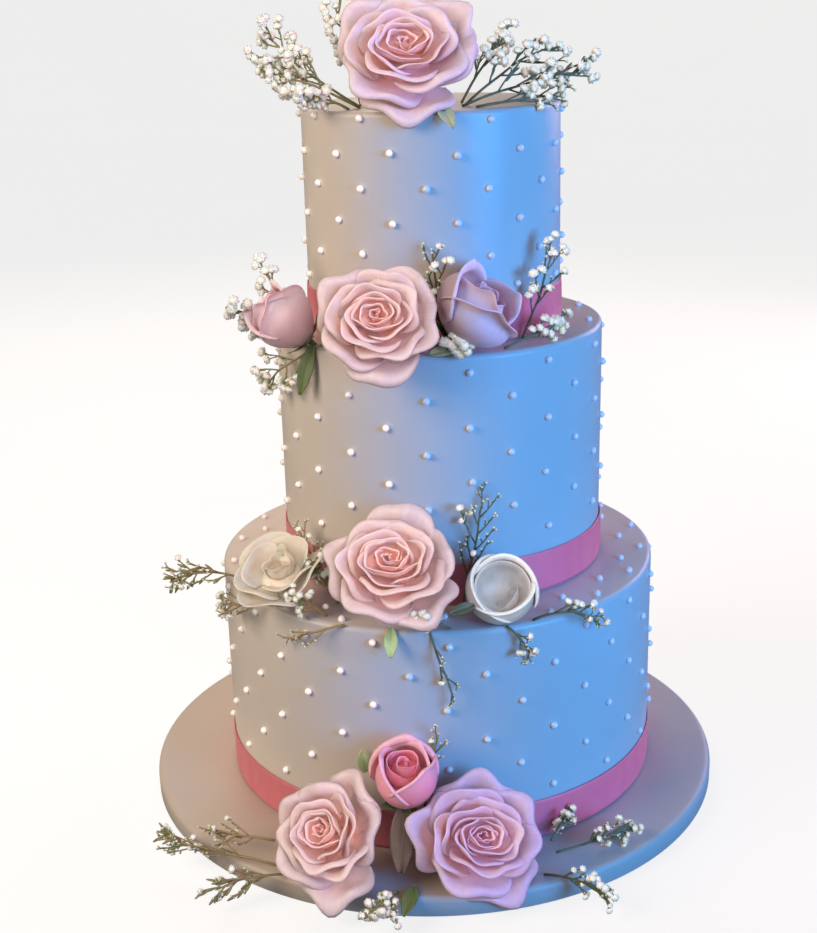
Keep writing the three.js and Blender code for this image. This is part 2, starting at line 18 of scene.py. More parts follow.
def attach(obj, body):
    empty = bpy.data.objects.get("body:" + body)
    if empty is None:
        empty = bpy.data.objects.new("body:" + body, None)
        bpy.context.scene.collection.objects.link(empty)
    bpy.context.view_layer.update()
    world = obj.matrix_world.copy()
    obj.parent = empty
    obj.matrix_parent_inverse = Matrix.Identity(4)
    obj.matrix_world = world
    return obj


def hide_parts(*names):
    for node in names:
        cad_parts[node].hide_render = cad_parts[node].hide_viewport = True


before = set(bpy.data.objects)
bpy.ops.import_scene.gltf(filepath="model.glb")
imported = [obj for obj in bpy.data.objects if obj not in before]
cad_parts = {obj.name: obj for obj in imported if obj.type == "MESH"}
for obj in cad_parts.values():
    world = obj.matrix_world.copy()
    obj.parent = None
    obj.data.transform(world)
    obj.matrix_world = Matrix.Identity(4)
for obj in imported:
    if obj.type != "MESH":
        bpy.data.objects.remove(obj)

LOG = logging.getLogger("wedding_cake")
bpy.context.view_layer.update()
MM = 0.001
BODY = "root"

Array = np.ndarray


# ---------------------------------------------------------------------------------------------
# Chance and directions
# ---------------------------------------------------------------------------------------------


INDEX_STEP = 12.9898
KIND_STEP = 78.233
SINE_SIZE = 43758.5453
SLANT = np.array([0.3, 0.4, 0.87])
GOLDEN = np.radians(137.5)


def wobble(index: Array | int, kind: float) -> Array:
    """An even, repeatable wobble.

    It is the fraction of a large multiple of a sine, stretched to run from -1 to 1.

    Args:
        index: whole number or numbers, one for each thing that wobbles.
        kind: which of a thing's wobbles this is.

    Returns:
        A value from -1 to 1 for each index.
    """
    value = np.sin(np.asarray(index, float) * INDEX_STEP + kind * KIND_STEP) * SINE_SIZE
    return 2 * (value - np.floor(value)) - 1


def heading(turn: float, rise: float) -> Vector:
    """A unit vector by its turn from the front (-Y) towards +X and its rise from level.

    Args:
        turn: degrees round the cake from the front.
        rise: degrees above level.

    Returns:
        The direction.
    """
    a, e = np.radians([turn, rise])
    return Vector((np.sin(a) * np.cos(e), -np.cos(a) * np.cos(e), np.sin(e)))


def standing(at: Vector, axis: Vector, wide: float = 1.0) -> Matrix:
    """Where a form made along +Z goes when its foot is at a point and it stands on an axis.

    Args:
        at: the foot, in millimetres.
        axis: the direction that +Z turns to.
        wide: how many times as wide as made the form is along its own X.

    Returns:
        The matrix of that place.
    """
    turn = Vector((0, 0, 1)).rotation_difference(axis).to_matrix().to_4x4()
    return Matrix.Translation(at) @ turn @ Matrix.Scale(wide, 4, Vector((1, 0, 0)))


def smooth(x: Array) -> Array:
    """A soft step from 0 to 1 as x goes from 0 to 1, level at both ends."""
    x = np.clip(x, 0, 1)
    return x * x * (3 - 2 * x)


def unit(vectors: Array) -> Array:
    """The vectors of an array's last axis, each brought to length 1."""
    return vectors / np.maximum(np.linalg.norm(vectors, axis=-1, keepdims=True), 1e-12)


def facing(ways: Array) -> Array:
    """A turning matrix for each unit direction, (n, 3, 3), that brings +Z round to it."""
    across = unit(np.cross(ways, SLANT))
    return np.stack([across, np.cross(ways, across), ways], -1)


def steps_round(count: int) -> Array:
    """The angles of so many even steps once round, in radians."""
    return 2 * np.pi * np.arange(count) / count


def round_points(radius: Array, turn: Array, z: Array, x: float = 0.0) -> Array:
    """Points about an upright axis.

    Args:
        radius: how far from the axis, in any shape that goes with the others.
        turn: the angle round it from +X, in radians.
        z: the height.
        x: where the axis stands, towards +X.

    Returns:
        The points, (..., 3).
    """
    return np.stack(np.broadcast_arrays(x + radius * np.cos(turn), radius * np.sin(turn), z), -1)


# ---------------------------------------------------------------------------------------------
# Surfaces
# ---------------------------------------------------------------------------------------------


@dataclass
class Surface:
    """A mesh as arrays: points in millimetres, faces of four and three, and values at points."""

    points: Array
    quads: Array
    triangles: Array = field(default_factory=lambda: np.zeros((0, 3), int))
    uv: Array | None = None
    depth: Array | None = None

    def placed(self, matrix: Matrix) -> "Surface":
        """The same surface moved by a matrix."""
        m = np.array(matrix)
        return replace(self, points=self.points @ m[:3, :3].T + m[:3, 3])

    def scaled(self, size: float) -> "Surface":
        """The same surface made larger or smaller about the origin."""
        return replace(self, points=self.points * size)

    def repeated(self, turns: Array, places: Array, sizes: Array) -> "Surface":
        """Many copies of a small surface as one.

        Args:
            turns: a turning matrix for each copy, (n, 3, 3).
            places: where each copy's origin goes, (n, 3).
            sizes: how large each copy is, (n,) or (n, 3) along its own axes.

        Returns:
            The copies, joined in one surface.
        """
        count = len(places)
        own = self.points[None] * np.asarray(sizes, float).reshape(count, 1, -1)
        points = np.einsum("nij,npj->npi", turns, own) + places[:, None]
        step = (np.arange(count) * len(self.points))[:, None, None]
        return Surface(
            points.reshape(-1, 3),
            (self.quads[None] + step).reshape(-1, 4),
            (self.triangles[None] + step).reshape(-1, 3),
            None if self.uv is None else np.tile(self.uv, (count, 1)),
            None if self.depth is None else np.tile(self.depth, count),
        )


def together(surfaces: list[Surface]) -> Surface:
    """Several surfaces as one.

    Args:
        surfaces: what to join. Missing UVs and depths become zeros.

    Returns:
        One surface that holds them all.
    """
    starts = np.cumsum([0] + [len(s.points) for s in surfaces[:-1]])
    uvs = [np.zeros((len(s.points), 2)) if s.uv is None else s.uv for s in surfaces]
    depths = [np.zeros(len(s.points)) if s.depth is None else s.depth for s in surfaces]
    return Surface(
        np.concatenate([s.points for s in surfaces]),
        np.concatenate([s.quads + start for s, start in zip(surfaces, starts)]),
        np.concatenate([s.triangles + start for s, start in zip(surfaces, starts)]),
        np.concatenate(uvs),
        np.concatenate(depths),
    )


def grid_faces(rows: int, columns: int, closed: bool) -> Array:
    """The faces of four between neighbouring points of a grid.

    Args:
        rows: rows of points.
        columns: points in a row.
        closed: whether each row's last point joins its first.

    Returns:
        Point numbers, four for each face.
    """
    wide = columns if closed else columns - 1
    j, i = np.meshgrid(np.arange(rows - 1), np.arange(wide), indexing="ij")
    right = (i + 1) % columns
    a, b = j * columns + i, j * columns + right
    return np.stack([a, b, b + columns, a + columns], -1).reshape(-1, 4)


def closed_rings(rings: Array, start: Array, end: Array, depth: Array | None = None) -> Surface:
    """A closed skin over rings of points, with a pole before the first and after the last.

    Args:
        rings: (rows, columns, 3) points, each ring anticlockwise seen from the end pole.
        start: the pole before the first ring.
        end: the pole after the last ring.
        depth: a value for each ring, or none.

    Returns:
        The closed surface, with its UV running round and along.
    """
    rows, columns, _ = rings.shape
    points = np.concatenate([rings.reshape(-1, 3), start[None], end[None]])
    i = np.arange(columns)
    nxt = (i + 1) % columns
    last = (rows - 1) * columns
    first_fan = np.stack([np.full(columns, rows * columns), nxt, i], -1)
    last_fan = np.stack([np.full(columns, rows * columns + 1), last + i, last + nxt], -1)
    along, across = np.meshgrid(np.linspace(0, 1, rows), i / columns, indexing="ij")
    uv = np.concatenate([np.stack([across, along], -1).reshape(-1, 2), [[0.5, 0.0], [0.5, 1.0]]])
    values = None
    if depth is not None:
        values = np.concatenate([np.repeat(depth, columns), [depth[0], depth[-1]]])
    fans = np.concatenate([first_fan, last_fan])
    return Surface(points, grid_faces(rows, columns, True), fans, uv, values)


def closed_sheet(middle: Array, thickness: Array, uv: Array, depth: Array) -> Surface:
    """A sheet with both faces and a rim, half its thickness to each side of its middle surface.

    The two faces are the middle surface moved both ways along its normals, which are the cross
    products of its neighbour differences.

    Args:
        middle: (rows, columns, 3) points of the middle surface.
        thickness: how thick the sheet is at each of them.
        uv: (rows, columns, 2) pattern coordinates.
        depth: (rows, columns) values for the finish.

    Returns:
        The closed sheet.
    """
    rows, columns, _ = middle.shape
    normal = unit(np.cross(np.gradient(middle, axis=1), np.gradient(middle, axis=0)))
    lift = normal * thickness[..., None] / 2
    count = rows * columns
    front = grid_faces(rows, columns, False)
    back = front[:, ::-1] + count
    edge = np.concatenate([
        np.arange(columns),
        np.arange(1, rows) * columns + columns - 1,
        (rows - 1) * columns + np.arange(columns - 2, -1, -1),
        np.arange(rows - 2, 0, -1) * columns,
    ])
    nxt = np.roll(edge, -1)
    rim = np.stack([nxt, edge, edge + count, nxt + count], -1)
    return Surface(
        np.concatenate([(middle + lift).reshape(-1, 3), (middle - lift).reshape(-1, 3)]),
        np.concatenate([front, back, rim]),
        uv=np.tile(uv.reshape(-1, 2), (2, 1)),
        depth=np.tile(depth.ravel(), 2),
    )


def tube(path: Array, radii: Array, sides: int, depth: Array | None = None) -> Surface:
    """A round tube carried along a path, closed at both ends.

    Each section is a circle square to the path, on two directions that are the cross products of
    the path's direction with one fixed slanting vector.

    Args:
        path: (n, 3) points.
        radii: the tube's radius at each of them.
        sides: points round the tube.
        depth: a value for each section, or none.

    Returns:
        The closed tube.
    """
    ahead = unit(np.gradient(path, axis=0))
    across = unit(np.cross(ahead, np.array([0.31, 0.52, 0.79])))
    upward = np.cross(ahead, across)
    a = 2 * np.pi * np.arange(sides) / sides
    circle = np.cos(a)[None, :, None] * across[:, None] + np.sin(a)[None, :, None] * upward[:, None]
    rings = path[:, None] + circle * radii[:, None, None]
    return closed_rings(rings, path[0], path[-1], depth)


def curve(start: Array, middle: Array, end: Array, steps: int) -> Array:
    """A path of steps + 1 points on the quadratic Bezier curve of three points."""
    t = np.linspace(0, 1, steps + 1)[:, None]
    return start * (1 - t) ** 2 + 2 * middle * t * (1 - t) + end * t**2


def make_piece(
    name: str, surface: Surface, material: bpy.types.Material
) -> bpy.types.Object:
    """Writes a surface into a mesh object that rides with the cake.

    Args:
        name: the piece's name.
        surface: its shape, in millimetres.
        material: its finish.

    Returns:
        The object, at the origin.
    """
    mesh = bpy.data.meshes.new(name)
    quads, triangles = surface.quads, surface.triangles
    mesh.vertices.add(len(surface.points))
    mesh.vertices.foreach_set("co", (surface.points * MM).astype(np.float32).ravel())
    corners = np.concatenate([quads.ravel(), triangles.ravel()]).astype(np.int32)
    totals = np.concatenate([np.full(len(quads), 4), np.full(len(triangles), 3)])
    mesh.loops.add(len(corners))
    mesh.loops.foreach_set("vertex_index", corners)
    mesh.polygons.add(len(totals))
    mesh.polygons.foreach_set("loop_start", (np.cumsum(totals) - totals).astype(np.int32))
    mesh.update(calc_edges=True)
    mesh.validate()
    mesh.polygons.foreach_set("use_smooth", np.ones(len(mesh.polygons), bool))
    if surface.uv is not None:
        layer = mesh.uv_layers.new(name="UVMap")
        layer.data.foreach_set("uv", surface.uv[corners].astype(np.float32).ravel())
    if surface.depth is not None:
        attribute = mesh.attributes.new("depth", "FLOAT", "POINT")
        attribute.data.foreach_set("value", surface.depth.astype(np.float32))
    mesh.materials.append(material)
    piece = bpy.data.objects.new(name, mesh)
    bpy.context.scene.collection.objects.link(piece)
    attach(piece, BODY)
    LOG.info("%s: %d faces", name, len(totals))
    return piece


# ---------------------------------------------------------------------------------------------
# Finishes
# ---------------------------------------------------------------------------------------------


class Slot(Enum):
    """The material slots of the record."""

    ICING = "icing"
    BOARD = "board_icing"
    RIBBON = "ribbon"
    ROSE = "rose_petals"
    BUD = "bud_petals"
    WHITE = "white_petals"
    LEAF = "leaf"
    PALE_LEAF = "pale_leaf"
    GREY_LEAF = "grey_leaf"
    SPRIG = "sprig"


Colour = tuple[float, float, float]
Socket = bpy.types.NodeSocket


class Shader:
    """A new material's nodes, with short calls for what the finishes share."""

    def __init__(self, name: str) -> None:
        """Starts a material whose output comes from one Principled shader."""
        self.material = bpy.data.materials.new(name)
        self.material.use_nodes = True
        self.tree = self.material.node_tree
        self.base = self.tree.nodes["Principled BSDF"]

    def node(self, kind: str, **settings: object) -> bpy.types.Node:
        """Adds a node and sets what is named: its own settings, or its inputs by socket name."""
        node = self.tree.nodes.new(kind)
        for key, value in settings.items():
            if hasattr(node, key):
                setattr(node, key, value)
            else:
                node.inputs[key.replace("_", " ").title()].default_value = value
        return node

    def join(self, source: Socket, target: Socket) -> None:
        """Links one socket to another."""
        self.tree.links.new(source, target)

    def noise(self, where: Socket, scale: float, detail: float = 2.0) -> Socket:
        """A cloud of values about 0.5, of so many features to the metre or to the UV square."""
        node = self.node("ShaderNodeTexNoise", scale=scale, detail=detail)
        self.join(where, node.inputs["Vector"])
        return node.outputs["Fac"]

    def spread(self, where: Socket, low: float, high: float) -> Socket:
        """The middle of a cloud's range, 0.3 to 0.7, brought to run from low to high."""
        node = self.node("ShaderNodeMapRange")
        node.inputs["From Min"].default_value = 0.3
        node.inputs["From Max"].default_value = 0.7
        node.inputs["To Min"].default_value = low
        node.inputs["To Max"].default_value = high
        self.join(where, node.inputs["Value"])
        return node.outputs["Result"]

    def mix(self, factor: Socket, one: object, other: object) -> Socket:
        """A colour between two, each a colour or a socket, by a factor from 0 to 1."""
        node = self.node("ShaderNodeMix", data_type="RGBA")
        self.join(factor, node.inputs["Factor"])
        for name, value in (("A", one), ("B", other)):
            socket = next(s for s in node.inputs if s.name == name and s.type == "RGBA")
            if isinstance(value, Socket):
                self.join(value, socket)
            else:
                socket.default_value = (*value, 1)
        return next(s for s in node.outputs if s.type == "RGBA")

    def ramp(self, factor: Socket, stops: list[tuple[float, Colour]]) -> Socket:
        """A colour read off a row of stops by a factor."""
        node = self.node("ShaderNodeValToRGB")
        elements = node.color_ramp.elements
        while len(elements) < len(stops):
            elements.new(0.5)
        for element, (place, colour) in zip(elements, stops):
            element.position = place
            element.color = (*colour, 1)
        self.join(factor, node.inputs["Fac"])
        return node.outputs["Color"]

    def bump(
        self, height: Socket, distance: float, strength: float, under: Socket | None = None
    ) -> Socket:
        """Relief from a height, a distance deep in metres, over another relief if one is given."""
        node = self.node("ShaderNodeBump", strength=strength, distance=distance)
        self.join(height, node.inputs["Height"])
        if under is not None:
            self.join(under, node.inputs["Normal"])
        return node.outputs["Normal"]

    def coordinates(self, kind: str) -> Socket:
        """The object's own coordinates, or its UV."""
        return self.node("ShaderNodeTexCoord").outputs[kind]

    def stretched(self, scale: tuple[float, float, float]) -> Socket:
        """The UV, scaled along its own axes."""
        node = self.node("ShaderNodeMapping")
        node.inputs["Scale"].default_value = scale
        self.join(self.coordinates("UV"), node.inputs["Vector"])
        return node.outputs["Vector"]

    def feed(self, name: str, source: Socket) -> None:
        """Links a socket to one of the shader's own."""
        self.join(source, self.base.inputs[name])

    def set(self, **values: object) -> None:
        """Sets the shader's own sockets, which are the same all over the surface."""
        for key, value in values.items():
            name = key.replace("_", " ")
            socket = next(s for s in self.base.inputs if s.name.lower() == name)
            socket.default_value = value


@dataclass(frozen=True)
class IcingFinish:
    """Smooth icing: a soft sheen, faint clouds of tone and the shallow marks of a smoother."""

    name: str
    colour: Colour
    shade: Colour
    roughness: float = 0.36
    coat: float = 0.12

    def build(self) -> bpy.types.Material:
        """Makes the material."""
        shader = Shader(self.name)
        where = shader.coordinates("Object")
        cloud = shader.noise(where, 9, 3)
        tone = shader.mix(shader.spread(cloud, 0.0, 1.0), self.colour, self.shade)
        shader.feed("Base Color", tone)
        patches = shader.noise(where, 38, 3)
        rough = shader.spread(patches, self.roughness - 0.05, self.roughness + 0.07)
        shader.feed("Roughness", rough)
        drift = shader.bump(shader.noise(where, 26, 2), 0.0009, 0.35)
        pores = shader.bump(shader.noise(where, 1400, 3), 0.00006, 0.35, drift)
        shader.feed("Normal", pores)
        shader.set(subsurface_weight=0.18, subsurface_radius=(1.0, 0.72, 0.5), subsurface_scale=0.004)
        shader.set(coat_weight=self.coat, coat_roughness=0.3, ior=1.45)
        return shader.material


@dataclass(frozen=True)
class SatinFinish:
    """Satin ribbon: a tight weave across its width, and long soft lights round the tier."""

    name: str
    colour: Colour
    shade: Colour

    def build(self) -> bpy.types.Material:
        """Makes the material."""
        shader = Shader(self.name)
        streaks = shader.noise(shader.stretched((9, 1.2, 1)), 1, 3)
        tone = shader.mix(shader.spread(streaks, 0.0, 1.0), self.colour, self.shade)
        shader.feed("Base Color", tone)
        threads = shader.node("ShaderNodeTexWave", scale=26, distortion=0.6, detail=2.0)
        threads.bands_direction = "Y"
        shader.join(shader.coordinates("UV"), threads.inputs["Vector"])
        weave = shader.bump(threads.outputs["Fac"], 0.00008, 0.5)
        ripples = shader.bump(streaks, 0.0004, 0.4, weave)
        shader.feed("Normal", ripples)
        shader.feed("Roughness", shader.spread(streaks, 0.3, 0.42))
        shader.set(sheen_weight=0.12, sheen_roughness=0.3, anisotropic=0.5, specular_ior_level=0.6)
        return shader.material


@dataclass(frozen=True)
class PetalFinish:
    """A waxy petal with fine veins, deeper in colour in the folds: partly its own colour, partly painted
    shade.
    """

    name: str
    rim: Colour
    middle: Colour
    deep: Colour
    roughness: float = 0.42

    def build(self) -> bpy.types.Material:
        """Makes the material."""
        shader = Shader(self.name)
        # Depth is highest at each petal's foot and in the folds, where the petals shade each other, so this
        # ramp paints shade there.
        depth = shader.node("ShaderNodeAttribute", attribute_name="depth")
        stops = [(0.05, self.rim), (0.45, self.middle), (1.0, self.deep)]
        colour = shader.ramp(depth.outputs["Fac"], stops)
        veins = shader.noise(shader.stretched((34, 1.6, 1)), 1, 4)
        clouds = shader.noise(shader.coordinates("Object"), 120, 2)
        veined = shader.mix(shader.spread(veins, 0.0, 0.3), colour, self.middle)
        shaded = shader.mix(shader.spread(clouds, 0.0, 0.22), veined, self.rim)
        shader.feed("Base Color", shaded)
        relief = shader.bump(veins, 0.0005, 0.3)
        skin = shader.bump(shader.noise(shader.coordinates("Object"), 900, 2), 0.00008, 0.3, relief)
        shader.feed("Normal", skin)
        rough = shader.spread(clouds, self.roughness - 0.05, self.roughness + 0.08)
        shader.feed("Roughness", rough)
        shader.set(subsurface_weight=0.5, subsurface_radius=(1.0, 0.5, 0.42), subsurface_scale=0.003)
        shader.set(sheen_weight=0.1, sheen_roughness=0.5)
        return shader.material


@dataclass(frozen=True)
class LeafFinish:
    """A leaf or stem: green with drier patches, a faint rib and a dull skin."""

    name: str
    colour: Colour
    dry: Colour
    roughness: float = 0.5

    def build(self) -> bpy.types.Material:
        """Makes the material."""
        shader = Shader(self.name)
        where = shader.coordinates("Object")
        patches = shader.noise(where, 90, 3)
        tone = shader.mix(shader.spread(patches, 0.0, 1.0), self.colour, self.dry)
        depth = shader.node("ShaderNodeAttribute", attribute_name="depth")
        shaded = shader.mix(depth.outputs["Fac"], tone, self.dry)
        shader.feed("Base Color", shaded)
        veins = shader.bump(shader.noise(shader.stretched((14, 9, 1)), 1, 3), 0.0004, 0.5)
        shader.feed("Normal", veins)
        rough = shader.spread(patches, self.roughness, self.roughness + 0.15)
        shader.feed("Roughness", rough)
        shader.set(subsurface_weight=0.15, subsurface_radius=(0.4, 1.0, 0.2), subsurface_scale=0.002)
        return shader.material


class Palette:
    """Every finish of the cake, built once."""

    def __init__(self) -> None:
        """Builds the materials."""
        self.icing = IcingFinish("ivory_icing", (0.84, 0.77, 0.69), (0.79, 0.72, 0.63)).build()
        # The board's icing is a darker, warmer copy of the tiers' ivory: painted shade from the cake
        # standing on it.
        self.board = IcingFinish(
            "board_icing", (0.72, 0.63, 0.54), (0.67, 0.58, 0.49), 0.44, 0.05
        ).build()
        self.pearl = IcingFinish(
            "pearl_icing", (0.96, 0.93, 0.89), (0.93, 0.89, 0.84), 0.2, 0.5
        ).build()
        self.satin = SatinFinish("rose_satin", (0.87, 0.25, 0.3), (0.83, 0.22, 0.27)).build()
        # The rose petals deepen to coral towards their feet and in the heart: partly their own colour,
        # partly painted shade in the folds.
        self.rose = PetalFinish(
            "blush_petal", (0.65, 0.485, 0.49), (1.0, 0.65, 0.6), (1.0, 0.54, 0.48)
        ).build()
        # The buds darken to a deeper red at their feet and between their petals: partly their own colour,
        # partly painted shade.
        self.bud = PetalFinish(
            "deep_pink_petal", (0.88, 0.43, 0.48), (0.8, 0.24, 0.31), (0.6, 0.08, 0.13)
        ).build()
        self.pale_bud = PetalFinish(
            "pale_pink_petal", (0.82, 0.57, 0.6), (0.82, 0.46, 0.49), (0.8, 0.31, 0.33)
        ).build()
        # The white petals turn grey in towards their feet, the folds and the cup's hollow: painted shade.
        self.white = PetalFinish(
            "white_petal", (0.86, 0.84, 0.8), (0.5, 0.5, 0.49), (0.3, 0.31, 0.32), 0.34
        ).build()
        # The cream petals darken a little towards their feet and in the folds: painted shade over the
        # cream.
        self.cream = PetalFinish(
            "cream_petal", (0.68, 0.62, 0.5), (0.66, 0.59, 0.45), (0.64, 0.55, 0.39), 0.4
        ).build()
        # The florets' green foot and centre are their own colour; the greyer folds between their frills are
        # painted shade.
        self.floret = PetalFinish(
            "floret_petal", (0.85, 0.85, 0.82), (0.68, 0.72, 0.6), (0.26, 0.34, 0.14), 0.5
        ).build()
        self.leaf = LeafFinish("dark_leaf", (0.06, 0.12, 0.035), (0.13, 0.16, 0.06)).build()
        self.pale_leaf = LeafFinish("pale_leaf", (0.27, 0.5, 0.24), (0.38, 0.46, 0.25)).build()
        # This leaf is coloured near black-brown to stand for the shaded gap between the board roses:
        # painted shade.
        self.grey_leaf = LeafFinish("grey_leaf", (0.17, 0.13, 0.11), (0.12, 0.09, 0.08)).build()
        self.stem = LeafFinish("sprig_stem", (0.13, 0.2, 0.07), (0.27, 0.19, 0.09)).build()


# ---------------------------------------------------------------------------------------------
# Board, tiers, pearls and ribbons
# ---------------------------------------------------------------------------------------------


def handmade(turn: Array, z: Array, seed: float) -> Array:
    """How far hand-smoothed icing stands off a true cylinder, in millimetres.

    It is a sum of three slow waves round the tier that lean as they climb.

    Args:
        turn: the angle round the tier, in radians.
        z: the height.
        seed: which tier.

    Returns:
        Between -0.25 and 0.25 at each place.
    """
    slow = np.sin(2 * turn + z / 60 + seed) + np.sin(3 * turn - z / 41 + 2 * seed)
    return 0.08 * (slow + np.sin(5 * turn + z / 29 + 3 * seed))


@dataclass(frozen=True)
class Board:
    """The drum board, iced over: a low disc with a soft edge."""

    radius: float = 194
    thickness: float = 13
    edge: float = 3.4
    foot: float = 1.2
    sides: int = 240
    top_rings: int = 40

    def build(self, palette: Palette) -> None:
        """Turns the board's outline round its axis.

        The outline runs up the side, round the edge on a quarter circle and in to the middle, and
        the top lies a little lower and higher by slow waves.
        """
        a = np.radians(np.linspace(0, 90, 8))
        low = np.radians(np.linspace(-90, 0, 5))[:-1]
        r = np.concatenate([
            [40, 120, self.radius - self.foot - 2],
            self.radius - self.foot + self.foot * np.cos(low),
            self.radius - self.edge + self.edge * np.cos(a),
            np.linspace(self.radius - self.edge - 2, 6, self.top_rings),
        ])
        z = np.concatenate([
            [0, 0, 0],
            self.foot + self.foot * np.sin(low),
            self.thickness - self.edge + self.edge * np.sin(a),
            np.full(self.top_rings, self.thickness),
        ])
        turn = steps_round(self.sides)
        outside = np.where(r > 180, 0.25, 0)[:, None]
        radius = r[:, None] + outside * handmade(turn, 0 * turn, 2.0)[None] * 4
        top = z >= self.thickness - 0.01
        height = z[:, None] + top[:, None] * 0.6 * handmade(turn[None], 3 * r[:, None], 5.0)
        rings = round_points(radius, turn, height)
        surface = closed_rings(rings, np.zeros(3), np.array([0, 0, self.thickness]))
        # The board's finish is darkened with painted shade.
        piece = make_piece("iced_board", surface, palette.board)
        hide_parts("cake_board")


@dataclass(frozen=True)
class Pearls:
    """The piped pearls of one tier: so many in a row, each row half a step on from the last."""

    per_row: int
    turn: float
    rows: int
    first: float
    drop: float
    rings: int
    radius: float = 2.25
    wander: float = 1.4
    inset: float = 7.5
    step: float = 12.5

    def form(self) -> Surface:
        """One pearl: three quarters of a ball with the trace of a peak, its foot in the icing."""
        a = np.radians(np.linspace(-38, 74, 6))
        z = 0.42 + 0.92 * np.sin(a)[:, None]
        rings = round_points(np.cos(a)[:, None], steps_round(12), z)
        foot, peak = np.array([0, 0, -0.3]), np.array([0, 0, 1.42])
        return closed_rings(rings, foot, peak).scaled(self.radius)


